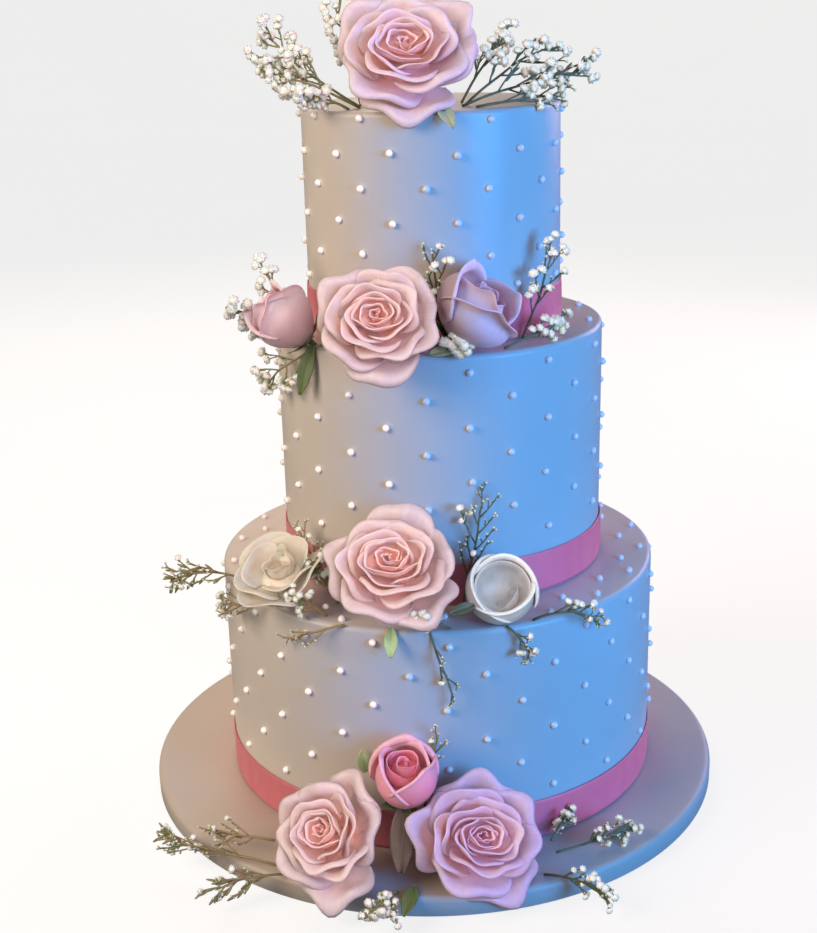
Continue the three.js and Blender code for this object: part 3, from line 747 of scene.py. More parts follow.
@dataclass(frozen=True)
class Tier:
    """One iced tier, with its pearls and its ribbon."""

    name: str
    radius: float
    foot: float
    top: float
    x: float
    pearls: Pearls
    seed: float
    edge: float = 3.2
    sides: int = 288
    wall_rings: int = 60
    top_rings: int = 26
    ribbon_width: float = 26
    ribbon_lift: float = 0.6
    ribbon_off: float = 0.45
    ribbon_thick: float = 0.75
    ribbon_steps: int = 15
    clear: float = 1.6
    seam: float = -22

    def build_icing(self, palette: Palette) -> None:
        """Turns the tier's outline round its axis, off true by the hand-smoothed waves.

        The outline is a straight wall, a quarter circle over the top edge, and a nearly flat top.
        """
        a = np.radians(np.linspace(0, 90, 9))
        r = np.concatenate([
            [self.radius - 4],
            np.full(self.wall_rings, self.radius),
            self.radius - self.edge * (1 - np.cos(a)),
            np.linspace(self.radius - self.edge - 2, 5, self.top_rings),
        ])
        z = np.concatenate([
            [self.foot],
            np.linspace(self.foot, self.top - self.edge - 0.5, self.wall_rings),
            self.top - self.edge * (1 - np.sin(a)),
            np.full(self.top_rings, self.top),
        ])
        turn = steps_round(self.sides)
        outer = (r > self.radius * 0.7)[:, None]
        radius = r[:, None] + outer * handmade(turn[None], z[:, None], self.seed)
        lying = smooth((self.radius - r) / 6)[:, None]
        height = z[:, None] + lying * handmade(turn[None], 2 * r[:, None], self.seed + 1)
        start, end = np.array([self.x, 0, self.foot]), np.array([self.x, 0, self.top])
        surface = closed_rings(round_points(radius, turn, height, self.x), start, end)
        piece = make_piece(f"icing_{self.name}", surface, palette.icing)
        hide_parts(f"tier_{self.name}")

    def pearl_places(self) -> tuple[Array, Array]:
        """Where the pearls sit and the way each one faces.

        The rows are evenly spaced down the wall, odd ones half a step round, and rings of them
        lie on the tier's top. Each strays a little by its own wobble.

        Returns:
            Points and unit outward directions, both (n, 3).
        """
        p = self.pearls
        row = np.repeat(np.arange(-p.rings, p.rows), p.per_row)
        k = np.tile(np.arange(p.per_row), p.rings + p.rows)
        index = (row + p.rings) * p.per_row + k
        pitch = 360 / p.per_row
        stray = np.degrees(p.wander * wobble(index, 1) / self.radius)
        a = np.radians(p.turn + np.where(row % 2 == 0, 0, pitch / 2) + k * pitch + stray)
        climb = p.wander * wobble(index, 2)
        on_top = row < 0
        level = self.top - p.first - row * p.drop + climb
        z = np.where(on_top, self.top, level)
        inward = self.radius - p.inset - (-1 - row) * p.step + climb
        reach = np.where(on_top, inward, self.radius + handmade(a - np.pi / 2, level, self.seed))
        out = np.stack([np.sin(a), -np.cos(a), 0 * a], -1)
        points = out * reach[:, None] + np.stack([0 * a + self.x, 0 * a, z], -1)
        return points, np.where(on_top[:, None], np.array([0.0, 0.0, 1.0]), out)

    def build_pearls(self, palette: Palette, flowers: BVHTree) -> None:
        """Pipes the pearls on, but for those that a flower or the ribbon would meet.

        Args:
            palette: the finishes.
            flowers: everything already laid on the cake, in millimetres.
        """
        points, out = self.pearl_places()
        ribbon_top = self.foot + self.ribbon_width + self.pearls.radius
        near = np.array([flowers.find_nearest(Vector(p + o))[3] for p, o in zip(points, out)])
        keep = (near > self.pearls.radius + self.clear) & (points[:, 2] > ribbon_top)
        points, out = points[keep], out[keep]
        turns = facing(out)
        index = np.arange(len(points))
        sizes = 1 + 0.07 * np.stack([wobble(index, 3), wobble(index, 4), wobble(index, 5)], -1)
        left = points[:, 0] < self.x + self.seam
        for side, part in (("left", left), ("right", ~left)):
            surface = self.pearls.form().repeated(turns[part], points[part], sizes[part])
            make_piece(f"pearls_{self.name}_{side}", surface, palette.pearl)

    def build_ribbon(self, palette: Palette) -> None:
        """Wraps the satin ribbon round the tier's foot.

        Its section bellies out by a hair, and its edges rise and fall in slow waves.
        """
        turn = steps_round(self.sides)
        v = np.linspace(0, 1, self.ribbon_steps)
        inner = self.radius + self.ribbon_off
        outer = inner + self.ribbon_thick * (0.72 + 0.28 * np.sin(np.pi * v) ** 0.5)
        low = self.foot + self.ribbon_lift + 0.35 * handmade(turn, 0 * turn, self.seed + 7)
        high = low + self.ribbon_width + 0.9 * handmade(turn, 0 * turn, self.seed + 4)
        r = np.concatenate([outer, np.full(self.ribbon_steps, inner)])
        t = np.concatenate([v, v[::-1]])
        z = low[:, None] + (high - low)[:, None] * t[None]
        puff = 0.18 * np.sin(9 * turn + self.seed)[:, None] * np.sin(np.pi * t)[None]
        radius = r[None] + puff
        rings = round_points(radius, turn[:, None], z, self.x)
        uv = np.stack([np.repeat(turn * self.radius / 100, len(r)), np.tile(t, self.sides)], -1)
        rows, columns = self.sides, len(r)
        faces = grid_faces(rows + 1, columns, True) % (rows * columns)
        surface = Surface(rings.reshape(-1, 3), faces[:, ::-1], uv=uv)
        piece = make_piece(f"satin_{self.name}", surface, palette.satin)
        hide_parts(f"ribbon_{self.name}")


TIERS = (
    Tier("bottom", 144.5, 13.3, 161, 5.5, Pearls(20, 2.2, 6, 9, 20.6, 2), 0.4),
    Tier("middle", 105, 161.3, 318, 10, Pearls(13, 9.5, 7, 9.5, 17.2, 1), 1.7),
    Tier("top", 80.5, 318.3, 454.5, 7.5, Pearls(13, -2.9, 6, 4.5, 19.6, 0), 2.9),
)


# ---------------------------------------------------------------------------------------------
# Petals
# ---------------------------------------------------------------------------------------------


@dataclass(frozen=True)
class Petal:
    """One petal about a bloom's axis, which is +Z. Lengths are shares of the bloom's radius."""

    turn: float
    spread: float
    foot: tuple[float, float]
    belly: tuple[float, float]
    rim: tuple[float, float]
    lip: float = 0.1
    curl: float = 70
    side_curl: float = 30
    crisp: float = 1.5
    side: float = 0.03
    rounding: float = 0.12
    ends: float = 0.3
    point: float = 0.03
    tuck: float = 0.03
    ripple: float = 0.0
    ripples: float = 2.5
    phase: float = 0.0
    neck: float = 0.3
    thick: float = 0.011
    # fold and blush are the depth at the petal's foot and at its rim: how much painted shade each end
    # takes.
    fold: float = 0.9
    blush: float = 0.0
    shift: tuple[float, float] = (0.0, 0.0)
    oval: float = 1.0
    across: int = 18
    body_rows: int = 9
    lip_rows: int = 8

    def surface(self) -> Surface:
        """The petal as a thin closed sheet.

        Up the petal its radius and height follow the quadratic curve from foot past belly to rim,
        which ends lower at the sides by the square of the way across, and dives near its edges
        by the sixth power. From there the lip goes on in the curve's last direction and turns
        outwards, the more the nearer it is to the rim: its direction is the bend times the way
        along it to the power of its crispness, and its points are the running sums of that
        direction's cosine and sine. The bend is larger at the sides than in the middle, where the
        lip is longer and makes a point. Across it wraps round the axis by its spread, narrow at
        the neck and widest two thirds up, with its side edges turned out and one side tucked
        further in.

        Returns:
            The sheet, with depth, the measure of its painted shade, falling from its foot to its rim.
        """
        even = np.linspace(-1, 1, self.across + 1)
        s = 0.5 * even + 0.5 * np.sin(even * np.pi / 2)
        past = np.linspace(0, 1, self.lip_rows + 1)
        rows = np.concatenate([np.linspace(0, 1, self.body_rows + 1)[:-1], 1 + past])
        u, w = np.meshgrid(s, rows)
        t = np.minimum(w, 1) * (1 - self.rounding * u**2 - self.ends * u**6)
        rest = 1 - t
        radius = self.foot[0] * rest**2 + 2 * self.belly[0] * t * rest + self.rim[0] * t**2
        height = self.foot[1] * rest**2 + 2 * self.belly[1] * t * rest + self.rim[1] * t**2
        out = (self.belly[0] - self.foot[0]) * rest + (self.rim[0] - self.belly[0]) * t
        up = (self.belly[1] - self.foot[1]) * rest + (self.rim[1] - self.belly[1]) * t
        length = np.hypot(out, up) + 1e-9
        out, up = out / length, up / length
        bend = np.radians(self.curl + self.side_curl * np.abs(s) ** 1.5)
        lean = bend * ((past[1:] + past[:-1])[:, None] / 2) ** self.crisp
        reach = self.lip * (1 - 0.25 * s**2 - 0.65 * s**6) + self.point * np.exp(-((s / 0.22) ** 2))
        flat = np.zeros((self.body_rows + 1, len(s)))
        ahead = np.concatenate([flat, np.cumsum(np.cos(lean), 0)]) / self.lip_rows * reach
        aside = np.concatenate([flat, np.cumsum(np.sin(lean), 0)]) / self.lip_rows * reach
        edge = self.side * smooth((np.abs(u) - 0.4) / 0.6) * smooth(w)
        wave = self.ripple * np.sin(self.ripples * np.pi * u + self.phase) * np.minimum(w, 1.5) ** 2
        radius = radius + out * ahead + up * (aside + edge + wave) + self.tuck * u * smooth(w)
        height = height + up * ahead - out * (aside + edge + wave) - 0.3 * self.tuck * u * w
        v = w / 2
        width = self.neck + (1 - self.neck) * np.sin(np.pi * (0.05 + 0.62 * v)) ** 0.8
        turn = self.turn + self.spread * width * u
        x = radius * np.cos(turn) * self.oval + self.shift[0]
        y = radius * np.sin(turn) / self.oval + self.shift[1]
        middle = np.stack([x, y, height], -1)
        thickness = self.thick * (1 - 0.5 * v) * (1 - 0.7 * u**4)
        # The petal's inner part, towards its foot, lies in the shade of the petals round it; its depth
        # paints that shade.
        inside = smooth((1.3 - w * (1 - 0.1 * np.abs(u))) / 0.9)
        depth = self.blush + (self.fold - self.blush) * inside
        return closed_sheet(middle, thickness, np.stack([u / 2 + 0.5, v], -1), depth)


def dome(radius: float, middle: float, rise: float, depth: float) -> Surface:
    """A closed dome on +Z with five spiral folds, for what lies packed under petals.

    Its radius is the cosine and its height the sine of an angle from -12 to 84 degrees. Between
    the folds it swells by the size of a sine of two and a half times the turn, which moves on as
    the dome rises.

    Args:
        radius: its greatest radius.
        middle: the height where it is widest.
        rise: how far its top stands over that.
        depth: the value for the finish, which paints shade on what lies packed under the petals.

    Returns:
        The dome.
    """
    a = np.radians(np.linspace(-12, 84, 20))
    turn = steps_round(60)
    fold = 0.82 + 0.18 * np.abs(np.sin(2.5 * turn[None] + 3.5 * a[:, None])) ** 0.6
    r = radius * np.cos(a)[:, None] * fold
    rings = round_points(r, turn, (middle + rise * np.sin(a))[:, None])
    start = np.array([0, 0, middle - rise * 0.25])
    end = np.array([0, 0, middle + rise])
    return closed_rings(rings, start, end, np.full(len(a), depth))


@dataclass(frozen=True)
class Bloom:
    """A flower: where its open face is, how it faces, its radius, its petals and its stem."""

    name: str
    at: tuple[float, float, float]
    facing: tuple[float, float, float]
    size: float
    stem: float
    seed: int
    middle: float = 0.4
    wide: float = 1.0

    @property
    def start(self) -> float:
        """Where its first petal is, in radians from its right."""
        return float(np.radians(self.facing[2]))

    def petals(self) -> list[Petal]:
        """The bloom's petals, innermost first."""
        raise NotImplementedError

    def core(self) -> Surface:
        """What fills the bloom under its petals' rims."""
        raise NotImplementedError

    def matrix(self) -> Matrix:
        """Where the bloom stands, its open face centred at its place."""
        turn, rise, _ = self.facing
        axis = heading(turn, rise)
        return standing(Vector(self.at) - axis * self.middle * self.size, axis, self.wide)

    def petal_finish(self, palette: Palette) -> tuple[bpy.types.Material, Slot]:
        """The finish of its petals and the record's slot for it."""
        return palette.rose, Slot.ROSE

    def build(self, palette: Palette) -> Surface:
        """Makes the bloom's petals and its green parts.

        Args:
            palette: the finishes.

        Returns:
            The whole bloom in place, for what is laid round it.
        """
        matrix = self.matrix()
        sheets = [petal.surface() for petal in self.petals()]
        petals = together([self.core(), *sheets]).scaled(self.size).placed(matrix)
        material, slot = self.petal_finish(palette)
        piece = make_piece(f"{self.name}_petals", petals, material)
        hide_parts(self.name)
        green = self.green_parts().placed(matrix)
        make_piece(f"{self.name}_calyx", green, palette.leaf)
        return together([petals, green])

    def green_parts(self) -> Surface:
        """The hip under the petals, five sepals that hug them, and the stem into the cake."""
        size = self.size
        hip = tube(
            np.stack([np.zeros(9), np.zeros(9), np.linspace(-0.14, 0.12, 9) * size], -1),
            size * 0.17 * np.sin(np.pi * np.linspace(0.14, 0.86, 9)), 16, np.zeros(9),
        )
        levels = (-0.1 * size, -0.5 * self.stem, -self.stem)
        path = curve(*(np.array([0, 0, z]) for z in levels), 8)
        stem = tube(path, np.linspace(1.9, 1.5, 9), 10, np.linspace(0.2, 0.6, 9))
        sepals = [self.sepal(k).surface().scaled(size) for k in range(5)]
        return together([hip, stem, *sepals])

    def sepal(self, k: int) -> Petal:
        """One narrow green sepal under the petals."""
        return Petal(
            turn=1.2566 * k + 0.2 * wobble(k, self.seed), spread=0.6,
            foot=(0.1, -0.02), belly=(0.42, -0.07), rim=(0.55, 0.06 + 0.05 * wobble(k, self.seed + 3)),
            rounding=0.35, point=0.2, lip=0.05, curl=40, side_curl=0, side=0.0, tuck=0.01, neck=0.5,
            thick=0.014, across=6, body_rows=6, lip_rows=3,
        )

    def draw(self, k: int, kind: int) -> float:
        """A draw from -1 to 1 for one petal of this bloom."""
        return float(wobble(k + 40 * self.seed, kind))


class OpenRose(Bloom):
    """A full open rose: a tight oval heart, and petals that flare more the further out they are."""

    hearts: int = 8
    flares: int = 14

    def core(self) -> Surface:
        """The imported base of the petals, a dome that fills the flower below their rims."""
        return dome(0.38, 0.12, 0.44, 0.85)

    def heart(self) -> list[Petal]:
        """The spiral heart: petals that wrap most of the way round, each a little wider."""
        petals = []
        for k in range(self.hearts):
            s = k / (self.hearts - 1)
            wild, other, third = (self.draw(k, kind) for kind in (1, 5, 6))
            petals.append(Petal(
                turn=self.start + GOLDEN * k + 0.5 * wild, spread=2.2 - 0.7 * s, foot=(0.03, 0.62),
                belly=(0.06 + 0.28 * s, 0.71), rim=(0.03 + 0.26 * s, 0.84 + 0.03 * s + 0.02 * wild),
                lip=0.06 + 0.07 * s, curl=56 + 16 * s, side_curl=10, crisp=1.8, side=0.01, rounding=0.04,
                ends=0.25, point=0.02, tuck=0.04, ripple=0.007, phase=3 * wild, neck=0.8, thick=0.012,
                across=30, shift=(0.025 * other, 0.04 + 0.02 * third), oval=1.14,
                fold=1.0, blush=0.7 - 0.42 * s,
            ))
        return petals

    def flared(self) -> list[Petal]:
        """The open petals, innermost first.

        From first to last the rim moves out and down, the petal leans from upright to flat, its
        lip grows broad and rolls further, and its point sharpens. Of the outer ones, those on the
        upper side stand higher and roll less, and those on the lower side hang.
        """
        petals = []
        for k in range(self.flares):
            s = k / (self.flares - 1)
            wild, other, third = (self.draw(k, kind) for kind in (2, 3, 4))
            turn = self.start + GOLDEN * k + 0.9 + 0.25 * wild
            sky = s**2 * float(np.sin(turn))
            petals.append(Petal(
                turn=turn, spread=1.65 - 0.67 * s**0.7,
                foot=(0.08 + 0.04 * s, 0.5 - 0.46 * s), belly=(0.34 + 0.23 * s, 0.66 - 0.62 * s),
                rim=(0.3 + 0.46 * s**0.95 - 0.04 * sky, 0.87 - 0.48 * s**1.3 + 0.1 * sky + 0.03 * other),
                lip=0.15 + 0.14 * s + 0.045 * s * third, curl=58 + 56 * s + 26 * wild - 22 * sky,
                side_curl=25 + 30 * s, crisp=1.7, side=0.012 + 0.04 * s, rounding=0.07 + 0.1 * s,
                ends=0.35, point=0.03 + 0.08 * s, tuck=0.06, ripple=0.01 + 0.016 * s, phase=4 * other,
                neck=0.55 - 0.1 * s, thick=0.009, fold=0.95 - 0.5 * s, blush=0.28 - 0.26 * s,
                across=26, oval=1.1 - 0.1 * s,
            ))
        return petals

    def petals(self) -> list[Petal]:
        """The heart, then the flared petals."""
        return [*self.heart(), *self.flared()]


class Bud(Bloom):
    """A closed bud: narrow at its foot, with broad outer petals that part to points at its tip."""

    tip: float = 0.16

    def core(self) -> Surface:
        """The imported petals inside."""
        return dome(0.55, 0.8, 0.55, 0.9)

    def petals(self) -> list[Petal]:
        """Tight inner petals, then broad ones that wrap them and turn out at the tip."""
        petals = []
        for k in range(5):
            s = k / 4
            petals.append(Petal(
                turn=self.start + GOLDEN * k, spread=2.2 - 0.5 * s, foot=(0.1, 0.4),
                belly=(0.2 + 0.45 * s, 0.9), rim=(0.06 + 0.38 * s, 1.5 + 0.03 * s),
                lip=0.12, curl=50, side_curl=10, side=0.0, rounding=0.04, ends=0.15, point=0.03,
                tuck=0.05, neck=0.7, thick=0.024, blush=0.4, across=26, oval=1.08,
            ))
        for k in range(4):
            wild = self.draw(k, 2)
            petals.append(Petal(
                turn=self.start + 2.3 * k + 0.9 + 0.15 * wild, spread=1.6, foot=(0.2, -0.08),
                belly=(1.04 + 0.05 * k, 0.7), rim=(0.58 + 0.05 * k, 1.5 - 0.05 * k + 0.03 * wild),
                lip=0.26 + 0.04 * k, curl=100 + 14 * k, side_curl=30, crisp=2.0, side=0.0, rounding=0.3,
                ends=0.12, point=self.tip, tuck=0.06, neck=0.6, thick=0.022, fold=0.6, across=34,
            ))
        return petals

    def petal_finish(self, palette: Palette) -> tuple[bpy.types.Material, Slot]:
        """Deep pink."""
        return palette.bud, Slot.BUD


class PaleBud(Bud):
    """A closed bud of the paler pink, with longer tips."""

    tip: float = 0.22

    def petal_finish(self, palette: Palette) -> tuple[bpy.types.Material, Slot]:
        """Pale pink."""
        return palette.pale_bud, Slot.BUD


class OpeningBud(Bloom):
    """A bud half way open: a spiral heart in a cup of broad petals whose lips turn out."""

    def core(self) -> Surface:
        """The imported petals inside."""
        return dome(0.7, 0.55, 0.55, 0.8)

    def petals(self) -> list[Petal]:
        """A tight heart, then petals that lean further out the later they come."""
        petals = []
        for k in range(5):
            s = k / 4
            petals.append(Petal(
                turn=self.start + GOLDEN * k, spread=2.2 - 0.5 * s, foot=(0.08, 0.4),
                belly=(0.2 + 0.62 * s, 0.8), rim=(0.06 + 0.42 * s, 1.24 + 0.04 * s),
                lip=0.16, curl=45, side_curl=15, side=0.0, rounding=0.06, ends=0.2, point=0.06,
                tuck=0.05, neck=0.7, thick=0.02, blush=0.25, across=26,
            ))
        for k in range(4):
            s = k / 3
            wild = self.draw(k, 2)
            petals.append(Petal(
                turn=self.start + 2.3 * k + 2.2 + 0.15 * wild, spread=1.7 - 0.3 * s, foot=(0.2, -0.05),
                belly=(1.2 + 0.12 * s, 0.6), rim=(0.72 + 0.2 * s, 1.28 - 0.14 * s + 0.03 * wild),
                lip=0.34 + 0.1 * s, curl=80 + 50 * s, side_curl=25, crisp=2.0, side=0.0, rounding=0.26,
                ends=0.14, point=0.22, tuck=0.05, ripple=0.01, phase=4 * wild, neck=0.6, thick=0.016,
                fold=0.5, across=34,
            ))
        return petals

    def petal_finish(self, palette: Palette) -> tuple[bpy.types.Material, Slot]:
        """Pale pink."""
        return palette.pale_bud, Slot.BUD


class RuffledFlower(Bloom):
    """A cream flower of broad soft petals, nearly flat open, with a loose ruffled middle."""

    def core(self) -> Surface:
        """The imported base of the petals."""
        return dome(0.42, 0.06, 0.2, 0.35)

    def petals(self) -> list[Petal]:
        """Folded petals in the middle, then broad soft ones that lie flatter going out."""
        petals = []
        for k in range(3):
            s = k / 2
            wild = self.draw(k, 1)
            petals.append(Petal(
                turn=self.start + 2.1 * k + 0.4 * wild, spread=1.6 - 0.3 * s, foot=(0.05, 0.1),
                belly=(0.2 + 0.2 * s, 0.26), rim=(0.14 + 0.2 * s, 0.42 - 0.02 * s),
                lip=0.16 + 0.06 * s, curl=50 + 30 * wild, side_curl=10, side=0.02, rounding=0.06,
                ends=0.25, point=0.0, tuck=0.06, ripple=0.02, ripples=1.6, phase=4 * wild,
                neck=0.6, thick=0.02, fold=0.3, across=28,
            ))
        for k in range(7):
            s = k / 6
            wild, other = self.draw(k, 3), self.draw(k, 4)
            petals.append(Petal(
                turn=self.start + GOLDEN * k + 0.25 * wild, spread=1.25 - 0.3 * s, foot=(0.08, 0.02),
                belly=(0.4 + 0.22 * s, 0.16 - 0.14 * s),
                rim=(0.46 + 0.28 * s, 0.36 - 0.18 * s + 0.03 * other),
                lip=0.24 + 0.06 * s, curl=35 + 25 * wild, side_curl=15, side=0.02, rounding=0.06,
                ends=0.25, point=0.0, tuck=0.05, ripple=0.026, ripples=1.5, phase=5 * wild,
                neck=0.45, thick=0.022, fold=0.3, across=28,
            ))
        return petals

    def petal_finish(self, palette: Palette) -> tuple[bpy.types.Material, Slot]:
        """Cream."""
        return palette.cream, Slot.WHITE


class OpenCup(Bloom):
    """A white bud opened to a cup: thick smooth petals round a hollow, with a low one inside."""

    def core(self) -> Surface:
        """The lining of the hollow, a bowl whose outline runs up its outside and down its inside."""
        outline = np.array([
            [0.3, 0.04], [0.66, 0.14], [0.83, 0.42], [0.85, 0.8], [0.81, 0.97],
            [0.76, 0.94], [0.71, 0.74], [0.58, 0.48], [0.38, 0.32], [0.16, 0.27],
        ])
        rings = round_points(outline[:, :1], steps_round(48), outline[:, 1:])
        under, floor = np.array([0, 0, 0.02]), np.array([0, 0, 0.26])
        # Depth climbs to 1 down the inside of the bowl, so the hollow is painted grey with shade.
        return closed_rings(rings, under, floor, np.linspace(0, 1, len(outline)))

    def petals(self) -> list[Petal]:
        """A low petal in the hollow, then the thick rolled ones that make the wall."""
        # The low petal in the hollow takes the fullest depth, painted shade.
        petals = [Petal(
            turn=self.start - 0.8, spread=1.4, foot=(0.2, 0.3), belly=(0.78, 0.36), rim=(0.46, 0.72),
            lip=0.12, curl=40, side_curl=0, side=0.0, rounding=0.35, ends=0.3, point=0.0,
            tuck=-0.12, neck=0.7, thick=0.03, fold=1.0, blush=0.45, across=30,
        )]
        for k in range(3):
            wild = self.draw(k, 2)
            petals.append(Petal(
                turn=self.start + 2.25 * k - 1.1 + 0.1 * wild, spread=1.7, foot=(0.2, 0.02),
                belly=(1.27 + 0.04 * k, 0.24), rim=(0.82 + 0.04 * k, 1.0 - 0.03 * k),
                lip=0.3 - 0.02 * k, curl=125 + 10 * wild, side_curl=0, side=0.0, rounding=0.12,
                ends=0.14, point=0.0, tuck=-0.06, ripple=0.012, ripples=1.5, phase=3 * wild,
                neck=0.5, thick=0.08, fold=0.7, across=36,
            ))
        return petals

    def petal_finish(self, palette: Palette) -> tuple[bpy.types.Material, Slot]:
        """White."""
        return palette.white, Slot.WHITE


BLOOMS = (
    OpenRose("rose_top", (-6, -68, 484), (0, 26, 8), 39.5, 46, 1, wide=1.16),
    OpenRose("rose_middle", (-26, -114, 341), (2, 25, 5), 37, 34, 4, wide=1.04),
    OpenRose("rose_lower", (-21, -136, 197), (-3, 42, 27), 40, 30, 7, wide=1.06),
    OpenRose("rose_board_left", (-60, -174, 43), (-24, 38, 0), 41, 36, 10, wide=0.88),
    OpenRose("rose_board_right", (25, -173, 38), (18, 36, 50), 40.5, 36, 13, wide=1.12),
    PaleBud("bud_middle_left", (-82, -72, 334), (-76, 44, -150), 21, 24, 16, 0.8),
    OpeningBud("bud_middle_right", (30, -99, 344), (62, 44, 129), 24.5, 26, 19, 0.8),
    RuffledFlower("flower_white_left", (-92, -102, 186), (-26, 58, 150), 31, 24, 22, 0.3, 1.1),
    Bud("bud_board_centre", (-16, -162, 74), (0, 66, 0), 22.5, 46, 25, 0.8),
    OpenCup("bud_white_right", (44, -130, 182), (4, 40, 0), 20.5, 12, 28, 0.8),
)


# ---------------------------------------------------------------------------------------------
# Leaves and sprigs
# ---------------------------------------------------------------------------------------------


@dataclass(frozen=True)
class Leaf:
    """A thin wavy leaf from its stalk end to its tip."""

    name: str
    root: tuple[float, float, float]
    tip: tuple[float, float, float]
    width: float
    slot: Slot

    def surface(self) -> Surface:
        """The leaf as a thin closed sheet.

        It is half a sine wave wide from a narrow stalk to its tip, its sides lift from the rib
        as the way across does, and it ripples along its length.
        """
        start, end = np.array(self.root, float), np.array(self.tip, float)
        along = end - start
        side = unit(np.cross(along, np.array([0, -0.6, 0.8])))
        lift = unit(np.cross(side, along))
        u, v = np.meshgrid(np.linspace(-1, 1, 13), np.linspace(0, 1, 19))
        half = self.width / 2 * (0.12 + 0.88 * np.sin(np.pi * np.clip(0.05 + 0.93 * v, 0, 1)) ** 0.9)
        wave = self.width * (0.14 * (np.sin(np.pi * v) + np.abs(u)) - 0.05 * np.sin(7 * v + 2 * u))
        wave -= 0.03 * self.width * np.exp(-((u / 0.12) ** 2))
        middle = start + v[..., None] * along + (u * half)[..., None] * side + wave[..., None] * lift
        depth = 0.35 * np.exp(-((u / 0.15) ** 2)) + 0.3 * v**4
        return closed_sheet(middle, np.full(u.shape, 0.7), np.stack([u / 2 + 0.5, v], -1), depth)

    def build(self, palette: Palette) -> Surface:
        """Makes the leaf in place of the model's."""
        finish = {
            Slot.LEAF: palette.leaf,
            Slot.PALE_LEAF: palette.pale_leaf,
            Slot.GREY_LEAF: palette.grey_leaf,
        }
        surface = self.surface()
        piece = make_piece(f"{self.name}_blade", surface, finish[self.slot])
        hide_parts(self.name)
        return surface


LEAVES = (
    Leaf("leaf_top", (13, -72, 456), (20, -90, 446), 9, Slot.PALE_LEAF),
    Leaf("leaf_middle_dark", (-66, -72, 319), (-75, -76, 289), 9, Slot.LEAF),
    Leaf("leaf_middle_pale", (4, -103, 318.6), (19, -100, 319.6), 8, Slot.PALE_LEAF),
    Leaf("leaf_lower_dark", (27, -142, 177), (12, -151, 175), 7, Slot.LEAF),
    Leaf("leaf_lower_tip", (-22, -139, 162), (-23, -150, 148), 8, Slot.PALE_LEAF),
    Leaf("leaf_board_gold", (-41, -138, 66), (-43, -140, 82), 8, Slot.PALE_LEAF),
    # Its very dark finish is painted shade of the gap between the board roses.
    Leaf("leaf_board_grey", (-17, -160, 58), (-20, -178, 20), 15, Slot.GREY_LEAF),
    Leaf("leaf_board_green", (-12, -184, 14), (-18, -205, 9), 9, Slot.LEAF),
)


@dataclass(frozen=True)
class Sprig:
    """A sprig of baby's breath: a bent stem, twigs off it, and stalks with a floret on each."""

    name: str
    root: tuple[float, float, float]
    tip: tuple[float, float, float]
    bend: tuple[float, float, float]
    twigs: int
    fan: float
    seed: int
    bloom: float = 1.0
    pods: int = 0
    dry: float = 0.1
    stem: float = 0.85
    twig: float = 0.58
    stalk: float = 0.4
    bud: float = 0.36

    def branches(self) -> tuple[list[Surface], Array, Array, Array]:
        """Grows the sprig.

        The stem is a quadratic curve with a slight zigzag. Twigs leave it all along its outer
        part, each turned out by the fan and shorter towards the tip, and split in stalks. The
        stalks end in a floret or, where the sprig is not fully out, in a bud. Pods are stalks
        that swell in the middle.

        Returns:
            The green branches, and the points where florets sit with the way each one faces and
            its size against a full one.
        """
        start, end = np.array(self.root, float), np.array(self.tip, float)
        middle = (start + end) / 2 + np.array(self.bend)
        length = float(np.linalg.norm(end - start))
        side = unit(np.cross(end - start, np.array([0.35, 1, 0.2])))
        other = unit(np.cross(side, end - start))
        path = curve(start, middle, end, 12)
        waves = np.sin(np.linspace(0, 3.4 * np.pi, 13) + self.seed)
        zigzag = 0.012 * length * waves * np.linspace(0, 1, 13)
        path = path + zigzag[:, None] * side
        branches = [tube(path, np.linspace(self.stem, self.twig, 13), 7, np.full(13, self.dry))]
        places, ways = [end], [unit(end - middle)]
        for k in range(self.twigs):
            t = 0.3 + 0.64 * k / max(1, self.twigs - 1)
            w = [float(wobble(k, self.seed + 0.1 * n)) for n in range(8)]
            base = start * (1 - t) ** 2 + 2 * middle * t * (1 - t) + end * t**2
            ahead = unit((middle - start) * (1 - t) + (end - middle) * t)
            lean = (1 if k % 2 == 0 else -1) * self.fan * (0.9 + 0.5 * w[0])
            way = unit(ahead + side * lean + other * self.fan * 0.9 * w[1])
            reach = length * (0.4 - 0.2 * t) * (1 + 0.3 * w[2])
            point = base + way * reach
            sag = base + way * reach * 0.5 + side * lean * reach * 0.14
            thinning = np.linspace(self.twig, self.stalk, 6)
            branches.append(tube(curve(base, sag, point, 5), thinning, 6, np.full(6, self.dry)))
            places.append(point)
            ways.append(way)
            for m in range(3):
                split = base + way * reach * (0.42 + 0.2 * m)
                turned = unit(way + side * (0.8 - 0.8 * m + 0.4 * w[3]) + other * (0.6 * w[4 + m]))
                tip = split + turned * (3.8 + 1.8 * w[5 - m])
                stalk = curve(split, (split + tip) / 2 + way, tip, 3)
                branches.append(tube(stalk, np.full(4, self.stalk), 5, np.full(4, self.dry)))
                places.append(tip)
                ways.append(turned)
            for m in range(self.pods):
                split = base + way * reach * (0.3 + 0.3 * m)
                turned = unit(way + side * (0.7 * w[6 - m] + 0.5) + other * 0.7 * w[7 - m])
                pod = curve(split, split + turned * 3 + way, split + turned * 5.5 + way * 2, 5)
                swelling = 0.3 + 0.6 * np.sin(np.pi * np.linspace(0.05, 0.95, 6))
                branches.append(tube(pod, swelling, 6, np.full(6, 0.0)))
        out = (wobble(np.arange(len(places)), self.seed + 0.5) + 1) / 2 < self.bloom
        return branches, np.array(places), np.array(ways), np.where(out, 1.0, self.bud)


